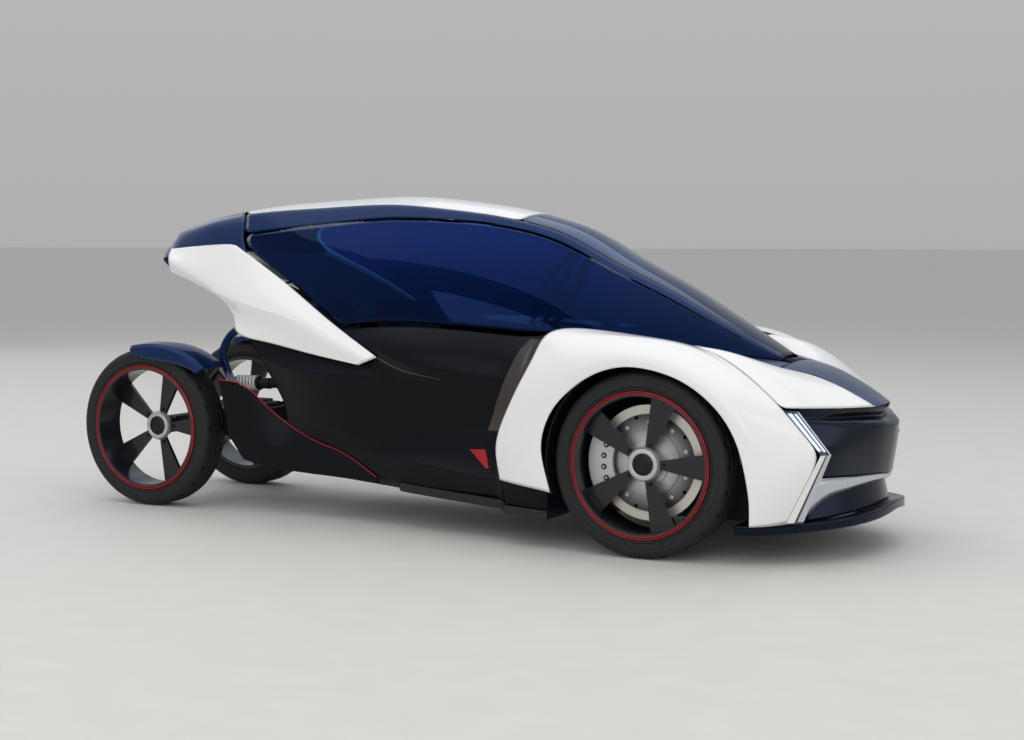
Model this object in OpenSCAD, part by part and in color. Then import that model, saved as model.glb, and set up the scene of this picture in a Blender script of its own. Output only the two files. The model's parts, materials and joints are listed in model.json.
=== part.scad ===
// Low tandem two-seat concept car with open wheels at the back and a tilting canopy.
// Millimetres. X points forward, Y to the car's left, Z up, ground at Z = 0.
// The origin is on the ground, half-way along the car. Left-hand pieces are mirrored
// for the right. Body panels are grids of points with a wall; mechanics are exact solids.

/* [Overall] */
// Distance between the axles
wheelbase = 2120; // [2070:1:2170]
// Distance from the front axle to the nose tip
front_overhang = 682; // [660:1:700]
// Height of the roof crown
roof_z = 1175; // [1145:1:1205]
// Height of the glass base beside the driver
belt_z = 722; // [710:1:734]
// Half width over the front wings
wing_y = 577; // [572:1:590]
// Half width of the roof panel
roof_half = 205; // [190:1:220]
// Half width of the glass base
glass_half = 384; // [376:1:392]
// Height of the floor underside at the front
floor_clear = 98; // [85:1:110]
// Gap round the canopy
shut = 7; // [6:0.5:9]
// Gap between fixed panels
seam = 0.7; // [0.5:0.1:0.9]

/* [Walls] */
// Wall of the body sides
side_wall = 24; // [18:1:30]
// Wall of the painted outer panels
skin_wall = 12; // [8:1:14]
// Thickness of the glass
glass_wall = 6; // [4:0.5:8]
// Thickness of the roof panel and its rails
roof_wall = 9; // [6:0.5:10]
// Thickness of the floor
floor_wall = 30; // [24:1:34]

/* [Wheels] */
// Outer radius of every tyre
tyre_r = 300; // [290:1:306]
// Width of a front tyre
front_tyre_w = 150; // [140:1:156]
// Width of a rear tyre
rear_tyre_w = 128; // [120:1:134]
// Half distance between the front tyre centres
front_half_track = 475; // [470:1:480]
// Half distance between the rear tyre centres
rear_half_track = 320; // [316:1:326]
// Radius of the rim where the tyre bead sits
bead_r = 236; // [230:1:240]
// Radius of the brake disc
disc_r = 188; // [180:1:192]
// Radius of the stub axles
axle_r = 20; // [18:0.5:22]
// Radial clearance of a running fit
run_fit = 0.05; // [0.03:0.01:0.08]
// Number of spokes in a wheel
spokes = 5; // [5:1:7]

/* [Steering] */
// Distance of the kingpin from the tyre centre plane
king_offset = 55; // [52:1:58]
// Radius of the kingpin
king_r = 13; // [11:0.5:14]
// Half height of the kingpin between the arm eyes
king_half = 112; // [106:1:118]
// Span of the front arms, from the tunnel to the kingpin
arm_span = 177; // [172:1:184]
// Radius of the steering wheel rim
wheel_rim_r = 150; // [140:1:160]

/* [Cabin] */
// Half width of a seat
seat_half = 190; // [175:1:205]
// Wall of the foot tunnel
tunnel_wall = 14; // [10:1:18]

/* [Hidden] */
$fn = 72;
overall_l = front_overhang + wheelbase + tyre_r;
fa = overall_l / 2 - front_overhang;
ra = tyre_r - overall_l / 2;
king_y = front_half_track - king_offset;
tunnel_half = king_y - arm_span;
rear_inner = rear_half_track - rear_tyre_w / 2;
// Centre of a trailing arm's side bar
swing_y = rear_inner - 52;
// Outer end of a front hub and of a rear hub, from the tyre's centre plane
front_hub_z = 36;
rear_hub_z = -18;
// Distance from the kingpin's plane to the front hub's inner end
disc_seat = 53.2;
// Front tip of the canopy glass, front edge of the roof panel, and the canopy's hinge line
tip_x = fa + 317;
roof_front_x = fa - 606;
hinge_x = tip_x + 16;
hinge_z = belt_z - 112;

// Blend between two values
function mix(a, b, t) = a + (b - a) * t;
// Smooth curve through a list of points, s counts the points
function spline(p, s) = let (n = len(p) - 1, i = max(0, min(floor(s), n - 1)), t = s - i,
  b = p[i], c = p[i + 1], a = i > 0 ? p[i - 1] : 2 * b - c, d = i + 2 <= n ? p[i + 2] : 2 * c - b)
  b + (c - a) * t / 2 + (2 * a - 5 * b + 4 * c - d) * t * t / 2 + (3 * b - a - 3 * c + d) * t * t * t / 2;
function key_span(k, x, i = 0) = (i >= len(k) - 2 || x < k[i + 1][0]) ? i : key_span(k, x, i + 1);
function key_slope(k, i) = let (a = max(i - 1, 0), b = min(i + 1, len(k) - 1))
  (k[b][1] - k[a][1]) / (k[b][0] - k[a][0]);
// Smooth value at x from a list of [x, value] keys
function keyed(k, x) = let (i = key_span(k, x), h = k[i + 1][0] - k[i][0],
  t = max(0, min(1, (x - k[i][0]) / h)), a = k[i][1], b = k[i + 1][1],
  m = key_slope(k, i) * h, n = key_slope(k, i + 1) * h)
  a * (1 + 2 * t) * (1 - t) * (1 - t) + m * t * (1 - t) * (1 - t) + b * t * t * (3 - 2 * t)
    - n * t * t * (1 - t);
// Grid of points through rails of control points
function loft(net, n, m) = [for (j = [0:m]) let (rail = [for (k = [0:len(net[0]) - 1])
  spline([for (r = net) r[k]], j * (len(net) - 1) / m)]) [for (i = [0:n])
    spline(rail, i * (len(rail) - 1) / n)]];
// Grid through rails that stay as creases: straight between them apart from a keyed bulge in Y
function creased(net, n, bulge) = let (rails = [for (r = net) [for (i = [0:n])
  spline(r, i * (len(r) - 1) / n)]])
  concat([for (k = [0:len(net) - 2]) for (t = [0, 0.12, 0.37, 0.63, 0.88]) [for (i = [0:n])
    mix(rails[k][i], rails[k + 1][i], t) + [0, keyed(bulge[k], i / n) * 4 * t * (1 - t), 0]]],
      [rails[len(net) - 1]]);
// Straight lines through a list of points
function kinked(p, s) = let (i = min(floor(s), len(p) - 2)) mix(p[i], p[i + 1], s - i);
function unit(v) = v / norm(v);
function grid_normal(g, j, i) = unit(cross(
  g[j][min(i + 1, len(g[0]) - 1)] - g[j][max(i - 1, 0)], g[min(j + 1, len(g) - 1)][i]
    - g[max(j - 1, 0)][i]));
// Point on the inner face of a panel's grid
function inner_pt(g, j, i, wall) = g[j][i] - wall * grid_normal(g, j, i);
function flat_list(g) = [for (r = g) for (p = r) p];

// Grid point, with the border points pulled in by the share t of a cell
function pulled(b, j, i, t) = let (m = len(b) - 1, n = len(b[0]) - 1, r = j == 0 ? 1 : j == m ? m - 1 : j,
  c = i == 0 ? 1 : i == n ? n - 1 : i) mix(mix(b[j][i], b[r][i], t), mix(b[j][c], b[r][c], t), t);

// A panel: grid g with a wall on its inner side; side is 1 when rows x columns point outward.
// The inner face's border is pulled in so that neighbouring walls do not meet.
module panel(g, wall, side = 1, inset = 0.4) {
  back = [for (j = [0:len(g) - 1]) [for (i = [0:len(g[0]) - 1])
    g[j][i] - side * wall * grid_normal(g, j, i)]];
  slab(g, inset > 0 ? [for (j = [0:len(g) - 1]) [for (i = [0:len(g[0]) - 1]) pulled(back, j, i, inset)]]
    : back, side);
}

// A closed solid between two grids of the same size
module slab(g, back, side = 1) {
  m = len(g) - 1;
  n = len(g[0]) - 1;
  c = n + 1;
  k = (m + 1) * c;
  quads = concat(
    [for (j = [0:m - 1]) for (i = [0:n - 1]) [j * c + i, (j + 1) * c + i, (j + 1) * c + i + 1,
      j * c + i + 1]],
    [for (j = [0:m - 1]) for (i = [0:n - 1])
      [k + j * c + i, k + j * c + i + 1, k + (j + 1) * c + i + 1, k + (j + 1) * c + i]],
    [for (i = [0:n - 1]) [i, i + 1, k + i + 1, k + i]],
    [for (i = [0:n - 1]) [m * c + i + 1, m * c + i, k + m * c + i, k + m * c + i + 1]],
    [for (j = [0:m - 1]) [(j + 1) * c, j * c, k + j * c, k + (j + 1) * c]],
    [for (j = [0:m - 1]) [j * c + n, (j + 1) * c + n, k + (j + 1) * c + n, k + j * c + n]]);
  polyhedron(concat(flat_list(g), flat_list(back)), [for (q = quads)
    for (t = [[q[0], q[1], q[2]], [q[0], q[2], q[3]]])
    side > 0 ? t : [t[2], t[1], t[0]]]);
}

module both() {
  children();
  mirror([0, 1, 0]) children();
}

// Lay a solid that was built round Z on the Y axis
module along_y(x, y, z) {
  translate([x, y, z]) rotate([-90, 0, 0]) children();
}

// Canopy form: crown, edge of the roof, and base of the glass

// Height at the share t of the way from the belt up to the roof crown
function up(t) = belt_z + t * (roof_z - belt_z);
function crown(x) = keyed([[ra - 40, up(0.735)], [ra + 20, up(0.779)], [ra + 101, up(0.826)],
  [ra + 208, up(0.876)],
  [ra + 417, up(0.94)], [ra + 678, up(0.976)], [fa - 1120, up(1)], [fa - 875, up(0.951)],
  [fa - 707, up(0.8985)], [fa - 610, up(0.852)], [fa - 484, up(0.775)], [fa - 398, up(0.691)],
  [fa - 275, up(0.534)], [fa - 72, up(0.305)], [fa + 64, up(0.128)], [tip_x, belt_z - 90]], x);
function edge_y(x) = keyed([[ra + 20, roof_half - 42], [ra + 208, roof_half - 14], [ra + 678, roof_half],
  [fa - 875, roof_half], [fa - 610, roof_half - 12], [fa - 398, roof_half - 24], [fa - 72, roof_half - 62],
  [fa + 130, roof_half - 96], [tip_x, roof_half - 140]], x);
function edge_drop(x) = keyed([[ra + 20, 22], [ra + 208, 30], [ra + 678, 38], [fa - 875, 36],
  [fa - 610, 30],
  [fa - 398, 24], [fa - 72, 15], [tip_x, 5]], x);
function edge_z(x) = crown(x) - edge_drop(x);
function base_y(x) = keyed([[ra + 200, glass_half - 84], [ra + 450, glass_half - 46],
  [ra + 940, glass_half - 12],
  [fa - 1000, glass_half - 5], [fa - 740, glass_half], [fa - 490, glass_half - 3],
    [fa - 348, glass_half - 14],
  [fa - 168, glass_half - 60], [fa + 32, glass_half - 148], [fa + 182, glass_half - 224],
  [tip_x, glass_half - 300]], x);
function base_z(x) = keyed([[ra + 450, belt_z - 22], [ra + 925, belt_z - 20], [ra + 1005, belt_z + 1],
  [fa - 1000, belt_z + 4], [fa - 740, belt_z - 4], [fa - 490, belt_z - 18], [fa - 428, belt_z - 22],
  [fa - 168, belt_z - 34], [fa + 62, belt_z - 70], [fa + 182, belt_z - 86], [tip_x, belt_z - 104]], x);
function side_bulge(x) = keyed([[ra + 200, 26], [ra + 940, 30], [fa - 740, 30], [fa - 348, 24],
  [fa - 72, 14],
  [fa + 182, 7], [tip_x, 2]], x);
// Side of the canopy as a width at (x, z)
function side_y(x, z) = let (t = (edge_z(x) - z) / (edge_z(x) - base_z(x)))
  mix(edge_y(x), base_y(x), t) + side_bulge(x) * 4 * t * (1 - t);
function top_z(x, y) = crown(x) - edge_drop(x) * pow(y / edge_y(x), 2);
// Depth of the dark rail under the roof edge
function rail_h(x) = keyed([[ra + 380, 72], [fa - 1120, 44], [fa - 800, 26], [fa - 600, 20], [fa, 16],
  [tip_x, 6]], x);
// Rear edge of the side glass, and the roof seam
function diag_x(z) = keyed([[belt_z - 118, ra + 1076], [belt_z - 2, ra + 864], [up(0.267), ra + 666],
  [up(0.43), ra + 529], [up(0.5585), ra + 406], [up(0.861), ra + 356]], z);
// Half the gap at that slanting edge, measured along X
function diag_gap(z) = 0.66 * shut * sqrt(1 + pow((diag_x(z + 6) - diag_x(z - 6)) / 12, 2));
function seam_x(a) = mix(ra + 262, ra + 354, a * a);

// Canopy pieces

module roof_panel() {
  n = 14;
  g = [for (j = [0:8]) let (a = j / 4 - 1) [for (i = [0:n]) let (
    x = mix(seam_x(abs(a)) + shut / 2, roof_front_x - seam, i / n),
      y = a * (edge_y(x) - 12)) [x, y, top_z(x, y)]]];
  color("white") panel(g, roof_wall);
}

module windscreen() {
  n = 16;
  g = [for (j = [0:8]) let (a = j / 4 - 1) [for (i = [0:n]) let (x = mix(roof_front_x, tip_x, i / n),
    y = a * (edge_y(x) - 12)) [x, y, top_z(x, y)]]];
  color([0.1, 0.13, 0.25]) panel(g, glass_wall);
}

function rail_pt(x, k) = k == 0 ? [x, edge_y(x) - 12 + seam, top_z(x, edge_y(x) - 12 + seam)]
  : k == 1 ? [x, edge_y(x) - 5, top_z(x, edge_y(x) - 5)]
  : let (z = edge_z(x) - [0, 0, 3, rail_h(x) / 2, rail_h(x)][k]) [x, side_y(x, z), z];

// Rear end of the rail's row k; the lower rows follow the slanting edge of the glass
function rail_rear(k) = let (x = ra + 370, z = edge_z(x) - rail_h(x) * (k - 2) / 2)
  k < 3 ? seam_x(1) + shut / 2 : diag_x(z) + diag_gap(z);
module canopy_rail() {
  n = 34;
  g = [for (k = [0:4]) [for (i = [0:n]) rail_pt(mix(rail_rear(k), tip_x, i / n), k)]];
  color([0.06, 0.07, 0.16]) panel(g, glass_wall);
}

module canopy_rails() {
  both() canopy_rail();
}

// Leaf and eye that carry the canopy on the nose hinge
module canopy_hinge() {
  color([0.1, 0.1, 0.12]) difference() {
    union() {
      translate([0, 45, 0]) rotate([90, 0, 0]) linear_extrude(90) polygon([
        [hinge_x, hinge_z - 12], [hinge_x, hinge_z - 4], [tip_x - 16, crown(tip_x - 16) - glass_wall - 10],
        [tip_x - 90, crown(tip_x - 90) - glass_wall - 7], [tip_x - 90,
          crown(tip_x - 90) - glass_wall - 28]]);
      // Rib that the windscreen rests on
      translate([0, 8, 0]) rotate([90, 0, 0]) linear_extrude(16) polygon(concat(
        [for (k = [0:4]) let (x = tip_x - 20 - 17 * k) [x, crown(x) - 1.18 * glass_wall - 0.5]],
        [[tip_x - 88, crown(tip_x - 88) - glass_wall - 20], [tip_x - 20,
          crown(tip_x - 20) - glass_wall - 14]]));
      along_y(hinge_x, -45, hinge_z) cylinder(r = 12, h = 90);
    }
    along_y(hinge_x, -46, hinge_z) cylinder(r = 6 + run_fit, h = 92);
  }
}

module side_glass_left() {
  n = 22;
  m = 6;
  function top(x) = edge_z(x) - rail_h(x) - 1.3 * seam;
  // Heights of the slanting rear edge, where it leaves the rail and where it meets the belt
  rear_top = up(0.706);
  rear_low = belt_z - 20;
  g = [for (j = [0:m]) let (v = j / m, z0 = mix(rear_top, rear_low, v), x0 = diag_x(z0) + diag_gap(z0),
    v0 = (top(x0) - z0) / (top(x0) - base_z(x0)))
    [for (i = [0:n]) let (u = i / n, x = mix(j == 0 ? rail_rear(4) : x0, tip_x, u),
      w = mix(j == 0 ? 0 : min(1, v0), v, min(1, 2.5 * u)),
        z = mix(top(x), base_z(x), w)) [x, side_y(x, z), z]]];
  color([0.1, 0.13, 0.25]) panel(g, glass_wall);
}

module side_glass() {
  both() side_glass_left();
}

// Tail and shoulders

function cap_x(a) = mix(ra + 2, ra + 14, a * a);
cap_low = up(0.53);
cap_foot_z = up(0.38);
function cap_pt(x, s) = let (a = abs(s), z = mix(edge_z(x), cap_low, 2 * a - 1),
  y = a <= 0.5 ? edge_y(x) * 2 * a : side_y(x, z)) [x, s < 0 ? -y : y, a <= 0.5 ? top_z(x, y) : z];
// Front edge of the cap at the share s across it
function cap_front(s) = let (a = abs(s), z = mix(edge_z(ra + 352), cap_low, 2 * a - 1))
  a <= 0.5 ? seam_x(2 * a) - shut / 2 : diag_x(z) - diag_gap(z);
function cap_foot(s) = let (p = cap_pt(cap_x(s), s)) [p[0] + 14, 0.95 * p[1], cap_foot_z];
// Rear face: shift in X and share of the way down to the foot, with a lip half-way
cap_back = [[-20, 0.22], [-46, 0.33], [-43, 0.44], [-12, 0.86]];
module tail_cap() {
  m = 14;
  rows = [for (r = [0:6]) [for (j = [0:m]) let (s = 2 * j / m - 1)
    cap_pt(mix(cap_front(s), cap_x(s), r / 6), s)]];
  last = rows[6];
  back = [for (q = cap_back) [for (p = last) [p[0] + q[0], p[1] * (1 - 0.05 * q[1]),
    mix(p[2], cap_foot_z, q[1])]]];
  g = concat(rows, back, [[for (j = [0:m]) cap_foot(2 * j / m - 1)]]);
  color([0.05, 0.06, 0.2]) panel([for (j = [0:m]) [for (r = g) r[j]]], skin_wall, -1);
}

// White blade from the tail down to the door
function blade_u(k) = let (z = concat([for (t = [0.5695, 0.5916, 0.6049, 0.607, 0.5585, 0.43, 0.267])
  up(t)],
  [belt_z - 2, belt_z - 118])[k], x = k < 4 ? ra + [18, 151, 251, 346][k] : diag_x(z) - diag_gap(z))
  [x, z > belt_z - 20 ? side_y(x, z) + 15.6 : glass_half + 36, z];
blade_c = [[ra + 44, glass_half - 106, up(0.49)], [ra + 140, glass_half - 94, up(0.402)],
  [ra + 235, glass_half - 76, up(0.316)], [ra + 325, glass_half - 46, up(0.243)],
  [ra + 420, glass_half - 18, up(0.172)], [ra + 530, glass_half + 6, up(0.106)],
  [ra + 690, glass_half + 26, belt_z + 10], [ra + 850, glass_half + 38, belt_z - 52],
  [ra + 1045, glass_half + 52, belt_z - 130]];
blade_l = [[ra + 42, glass_half - 122, up(0.371)], [ra + 145, glass_half - 112, up(0.3)],
  [ra + 243, glass_half - 94, up(0.221)], [ra + 328, glass_half - 66, up(0.141)],
  [ra + 386, glass_half - 42, belt_z + 10], [ra + 425, glass_half - 24, belt_z - 56],
  [ra + 585, glass_half, belt_z - 82], [ra + 790, glass_half + 24, belt_z - 117],
  [ra + 1005, glass_half + 52, belt_z - 146]];
shoulder_wall = skin_wall + 2;
shoulder_grid = loft([[for (k = [0:8]) blade_u(k)], blade_c, blade_l], 20, 8);
module shoulder_left() {
  color("white") panel(shoulder_grid, shoulder_wall);
}

module shoulders() {
  both() shoulder_left();
}

// Back wall of the cabin, from under the tail down to the floor
bulkhead_line = [[ra + 60, glass_half - 158, cap_foot_z - 6], [ra + 150, glass_half - 148, up(0.305)],
  [ra + 250, glass_half - 130, up(0.221)], [ra + 336, glass_half - 104, up(0.137)],
  [ra + 396, glass_half - 84, belt_z + 8], [ra + 440, glass_half - 78, belt_z - 60],
  [ra + 520, glass_half - 80, belt_z - 140], [ra + 590, glass_half - 84, belt_z - 226],
  [ra + 632, glass_half - 88, belt_z - 320], [ra + 672, glass_half - 94, belt_z - 420],
  [ra + 690, glass_half - 104, floor_top(ra + 690) + 0.6]];
bulkhead_grid = [for (j = [0:6]) let (a = j / 3 - 1) [for (i = [0:16])
  let (p = spline(bulkhead_line, i * 10 / 16))
  i == 0 ? cap_foot(a) - [0, 0, seam] : [p[0] - 6 * (1 - a * a), a * p[1], p[2]]]];
tab_r = 5;
// Rod from the bulkhead's wall to the inner face of a shoulder
module shoulder_tab(i, k) {
  q = inner_pt(shoulder_grid, 6, k, shoulder_wall) - (tab_r + 0.6) * grid_normal(shoulder_grid, 6, k);
  hull() {
    translate(inner_pt(bulkhead_grid, 5, i, -skin_wall / 2)) sphere(r = tab_r, $fn = 12);
    translate(q) sphere(r = tab_r, $fn = 12);
  }
}
module rear_bulkhead() {
  color([0.07, 0.07, 0.09]) {
    panel(bulkhead_grid, skin_wall, -1);
    both() {
      shoulder_tab(3, 5);
      shoulder_tab(7, 9);
    }
  }
}

// Body sides and floor

function floor_top(x) = floor_clear + floor_wall + 0.0567 * (fa - 327 - min(x, fa - 327));
function on_floor(x, y) = [x, y, floor_top(x) + 1.3 * seam];
wing_back = [[fa - 335, 462, 724], [fa - 390, wing_y - 47, 618], [fa - 463, wing_y - 31, 474],
  [fa - 511, wing_y - 27, 343], [fa - 496, wing_y - 29, 224]];
// Rails from the belt down: belt, door crease, ridge under the blade, sill ridge, sill edge, floor
side_net = [
  [[ra + 450, glass_half - 50, belt_z - 44], [ra + 690, glass_half - 34, belt_z - 34],
    [ra + 850, glass_half - 26, belt_z - 32], [ra + 990, glass_half - 18, belt_z - 16],
    [ra + 1190, glass_half - 7, belt_z - 8], [fa - 690, glass_half - 2, belt_z - 18],
    [fa - 470, glass_half - 2, belt_z - 32], wing_back[0] - [2, 9, 13]],
  [[ra + 455, glass_half - 50, belt_z - 66], [ra + 690, glass_half - 28, belt_z - 70],
    [ra + 850, glass_half - 10, belt_z - 78], [ra + 1018, glass_half + 20, belt_z - 76],
    [ra + 1190, glass_half + 56, belt_z - 130], [fa - 690, glass_half + 62, belt_z - 168],
    [fa - 485, glass_half + 64, belt_z - 186], mix(wing_back[1], wing_back[2], 0.58) - [0, 14, 2]],
  [[ra + 525, glass_half - 24, belt_z - 138], [ra + 700, glass_half + 16, belt_z - 178],
    [ra + 860, glass_half + 36, belt_z - 184], [ra + 1020, glass_half + 34, belt_z - 186],
    [ra + 1190, glass_half + 28, belt_z - 228], [fa - 690, glass_half + 26, belt_z - 272],
    [fa - 500, glass_half + 30, belt_z - 292], mix(wing_back[2], wing_back[3], 0.23) - [0, 14, 0]],
  [[ra + 610, glass_half - 48, belt_z - 292], [ra + 726, glass_half - 22, belt_z - 346],
    [ra + 880, glass_half - 2, belt_z - 386], [ra + 1040, glass_half + 8, belt_z - 414],
    [ra + 1190, glass_half + 18, belt_z - 406], [fa - 700, glass_half + 32, belt_z - 390],
    [fa - 540, glass_half + 48, belt_z - 388], wing_back[3] - [0, 14, 0]],
  [[ra + 618, glass_half - 54, belt_z - 338], [ra + 730, glass_half - 34, belt_z - 392],
    [ra + 886, glass_half - 18, belt_z - 436], [ra + 1046, glass_half + 10, belt_z - 466],
    [ra + 1190, glass_half + 50, belt_z - 474], [fa - 700, glass_half + 86, belt_z - 496],
    [fa - 540, glass_half + 104, belt_z - 512], mix(wing_back[3], wing_back[4], 0.8) - [0, 14, 0]],
  [[ra + 622, glass_half - 58, belt_z - 378], [ra + 736, glass_half - 44, belt_z - 426],
    [ra + 892, glass_half - 32, belt_z - 470], on_floor(ra + 1052, glass_half - 12) + [0, 0, 6],
    on_floor(ra + 1190, glass_half + 18), on_floor(fa - 700, glass_half + 44),
    on_floor(fa - 540, glass_half + 61), on_floor(fa - 486, wing_y - 55)]];
// Bulge between those rails, keyed by the share of the length from the rear
side_bulges = [[[0, 0], [0.43, 2], [0.57, 12], [0.86, 15], [1, 27]],
  [[0, 0], [0.43, -8], [0.57, -4], [1, 0]],
  [[0, -4], [0.5, -8], [0.8, -4], [1, 0]], [[0, 0], [0.5, -4], [0.8, -8], [1, 0]], [[0, 0], [1, 0]]];
module body_side_left() {
  g = creased(side_net, 21, side_bulges);
  back = [for (r = g) [for (p = r) p - [0, side_wall, 0]]];
  color([0.07, 0.07, 0.08]) slab(g, [for (j = [0:len(g) - 1]) [for (i = [0:21]) pulled(back, j, i, 0.4)]]);
}

// End of the sill under the wing, behind the front wheel
sill_top = [[fa - 494.6, wing_y - 45, 219], [fa - 425, wing_y - 27, 211], [fa - 345, wing_y - 21, 201],
  [fa - 318, wing_y - 25, 193]];
sill_low = [on_floor(fa - 485.2, wing_y - 55), on_floor(fa - 425, wing_y - 53),
  on_floor(fa - 352, wing_y - 53),
  on_floor(fa - 334, wing_y - 57)];
module sill_end_left() {
  color([0.07, 0.07, 0.08]) panel(loft([sill_top, mix(sill_top, sill_low, 0.5), sill_low], 6, 3),
    skin_wall);
}

module body_sides() {
  both() {
    body_side_left();
    sill_end_left();
  }
}

floor_plan = [[ra + 640, glass_half - 98], [ra + 900, glass_half - 72], [ra + 1110, glass_half - 44],
  [ra + 1150, glass_half + 12], [ra + 1190, glass_half + 22], [fa - 700, glass_half + 50],
  [fa - 540, glass_half + 66], [fa - 486, wing_y - 49], [fa - 334, wing_y - 52], [fa - 334, tunnel_half],
  [fa + 300, tunnel_half]];
module floor_pan() {
  outline = concat(floor_plan,
    [for (i = [len(floor_plan) - 1:-1:0]) [floor_plan[i][0], -floor_plan[i][1]]]);
  color([0.06, 0.06, 0.07]) difference() {
    union() {
      intersection() {
        linear_extrude(400) polygon(outline);
        translate([0, 600, 0]) rotate([90, 0, 0]) linear_extrude(1200) polygon([
          [ra + 600, floor_top(ra + 600) - floor_wall], [fa - 327, floor_clear], [fa + 310, floor_clear],
          [fa + 310, floor_clear + floor_wall], [fa - 327, floor_clear + floor_wall],
            [ra + 600, floor_top(ra + 600)]]);
      }
      // Flat pads for a jack
      for (x = [ra + 700, fa - 420], s = [-1, 1]) translate([x, s * 235, floor_top(x) - floor_wall - 10])
        cylinder(r = 32, h = 24);
      // Lugs that hold the trailing arm tube
      for (s = [-1, 1]) translate([0, s * (swing_y - 54) + 12, 0]) rotate([90, 0, 0]) linear_extrude(24)
        polygon([
        [ra + 560, tyre_r - 40], [ra + 560, tyre_r + 40], [ra + 600, tyre_r + 48],
          [ra + 660, floor_top(ra + 660) - 2],
        [ra + 640, floor_top(ra + 640) - 12]]);
    }
    along_y(ra + 592, -300, tyre_r) cylinder(r = 24 + run_fit, h = 600);
  }
}

// Low side panel in front of each rear wheel
fairing_net = [
  [[ra + 340, glass_half - 24, 494], [ra + 446, glass_half - 32, 476], [ra + 546, glass_half - 44, 398],
    [ra + 622, glass_half - 58, belt_z - 378.8], [ra + 736, glass_half - 44, belt_z - 427.6],
    [ra + 892, glass_half - 32, belt_z - 473.6], [ra + 1040, glass_half - 14, 172.4]],
  [[ra + 390, glass_half - 16, 286], [ra + 460, glass_half - 18, 276], [ra + 550, glass_half - 22, 262],
    [ra + 622, glass_half - 27, 252], [ra + 736, glass_half - 26, 238], [ra + 892, glass_half - 22, 212],
    [ra + 1046, glass_half - 10, 164]],
  [[ra + 438, glass_half - 36, 200], [ra + 490, glass_half - 36, 188], [ra + 560, glass_half - 38, 176],
    [ra + 622, glass_half - 41, 170], [ra + 736, glass_half - 40, 164], [ra + 892, glass_half - 32, 158],
    [ra + 1046, glass_half - 18, 150]]];
module rear_fairing_left() {
  flat = [[0, 0], [1, 0]];
  color([0.05, 0.06, 0.2]) panel(creased(fairing_net, 14, [flat, flat]), skin_wall + 6);
}

module rear_fairings() {
  both() rear_fairing_left();
}

// Front wings, hood and nose

wing_net = [
  [[fa - 302, wing_y - 11, 196], [fa - 334, wing_y - 5, 338], [fa - 302, wing_y - 2, 450],
    [fa - 231, wing_y - 1, 531],
    [fa - 130, wing_y, 594], [fa - 10, wing_y, 616], [fa + 140, wing_y - 3, 583],
      [fa + 259, wing_y - 9, 501],
    [fa + 332, wing_y - 17, 388], [fa + 366, wing_y - 29, 230], [fa + 367, wing_y - 37, 131]],
  [[fa - 345, wing_y - 5, 205], [fa - 390, wing_y, 342], [fa - 357, wing_y + 2, 462],
    [fa - 283, wing_y + 3, 562],
    [fa - 185, wing_y - 1, 632], [fa - 20, wing_y - 7, 660], [fa + 145, wing_y - 15, 628],
      [fa + 285, wing_y - 21, 540],
    [fa + 365, wing_y - 32, 425], [fa + 420, wing_y - 49, 268], [fa + 400, wing_y - 61, 131]],
  [[fa - 425, wing_y - 11, 215], [fa - 455, wing_y - 7, 343], [fa - 415, wing_y - 7, 470],
    [fa - 338, wing_y - 15, 598],
    [fa - 255, wing_y - 47, 690], [fa - 40, wing_y - 72, 704], [fa + 140, wing_y - 97, 676],
      [fa + 298, wing_y - 87, 588],
    [fa + 405, wing_y - 77, 468], [fa + 490, wing_y - 95, 312], [fa + 430, wing_y - 92, 132]],
  [wing_back[4], wing_back[3], wing_back[2], wing_back[1],
    wing_back[0], [fa - 60, 425, 708], [fa + 140, 390, 672], [fa + 290, 425, 608],
    [fa + 438, 452, 494], [fa + 560, 438, 352], [fa + 455, 452, 133]]];
// The inner edge has a sharp corner in front, where the lamp sits
wing_grid = [for (j = [0:8]) let (rail = [for (k = [0:10]) spline([for (r = wing_net) r[k]], j * 3 / 8)])
  [for (i = [0:30]) let (s = i / 3) mix(spline(rail, s), s > 8 ? kinked(rail, s) : spline(rail, s),
    pow(j / 8, 2))]];
module wing_left() {
  color("white") panel(wing_grid, skin_wall, -1);
}

module wings() {
  both() wing_left();
}

// Inner edge of the white hood, beside the dark spine
function hood_in(x) = [x, keyed([[fa - 335, 455], [fa - 60, 424], [fa + 86, 332], [fa + 158, 290],
  [fa + 296, 220],
  [fa + 439, 150], [fa + 553, 112], [fa + 633, 92]], x), keyed([[fa + 86, 656], [fa + 158, 634],
    [fa + 296, 609],
  [fa + 439, 579], [fa + 553, 528], [fa + 633, 478]], x)];
// Top edge of the grille at a width
function grille_top(y) = [keyed([[0, fa + 646], [92, fa + 633], [210, fa + 588], [330, fa + 528],
  [452, fa + 440]], y), y,
  keyed([[0, 470], [92, 478], [210, 482], [330, 488], [452, 494]], y)];
hood_p = [[fa + 118, 366, 676], [fa + 240, 376, 658], [fa + 350, 376, 608], grille_top(352)];
hood_q = [[fa + 104, 348, 668], [fa + 262, 300, 640], [fa + 420, 250, 584], grille_top(220)];
module hood_left() {
  n = 9;
  g = [for (i = [0:n]) let (t = i / n) [for (j = [0:8])
    spline([spline(wing_net[3], 6 + 2 * t) + [0.4, -seam, 0.3], spline(hood_p, 3 * t),
      spline(hood_q, 3 * t),
      hood_in(mix(fa + 86, fa + 633, t))], 3 * j / 8)]];
  color("white") panel(g, skin_wall);
}

module hood_halves() {
  both() hood_left();
}

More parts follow.
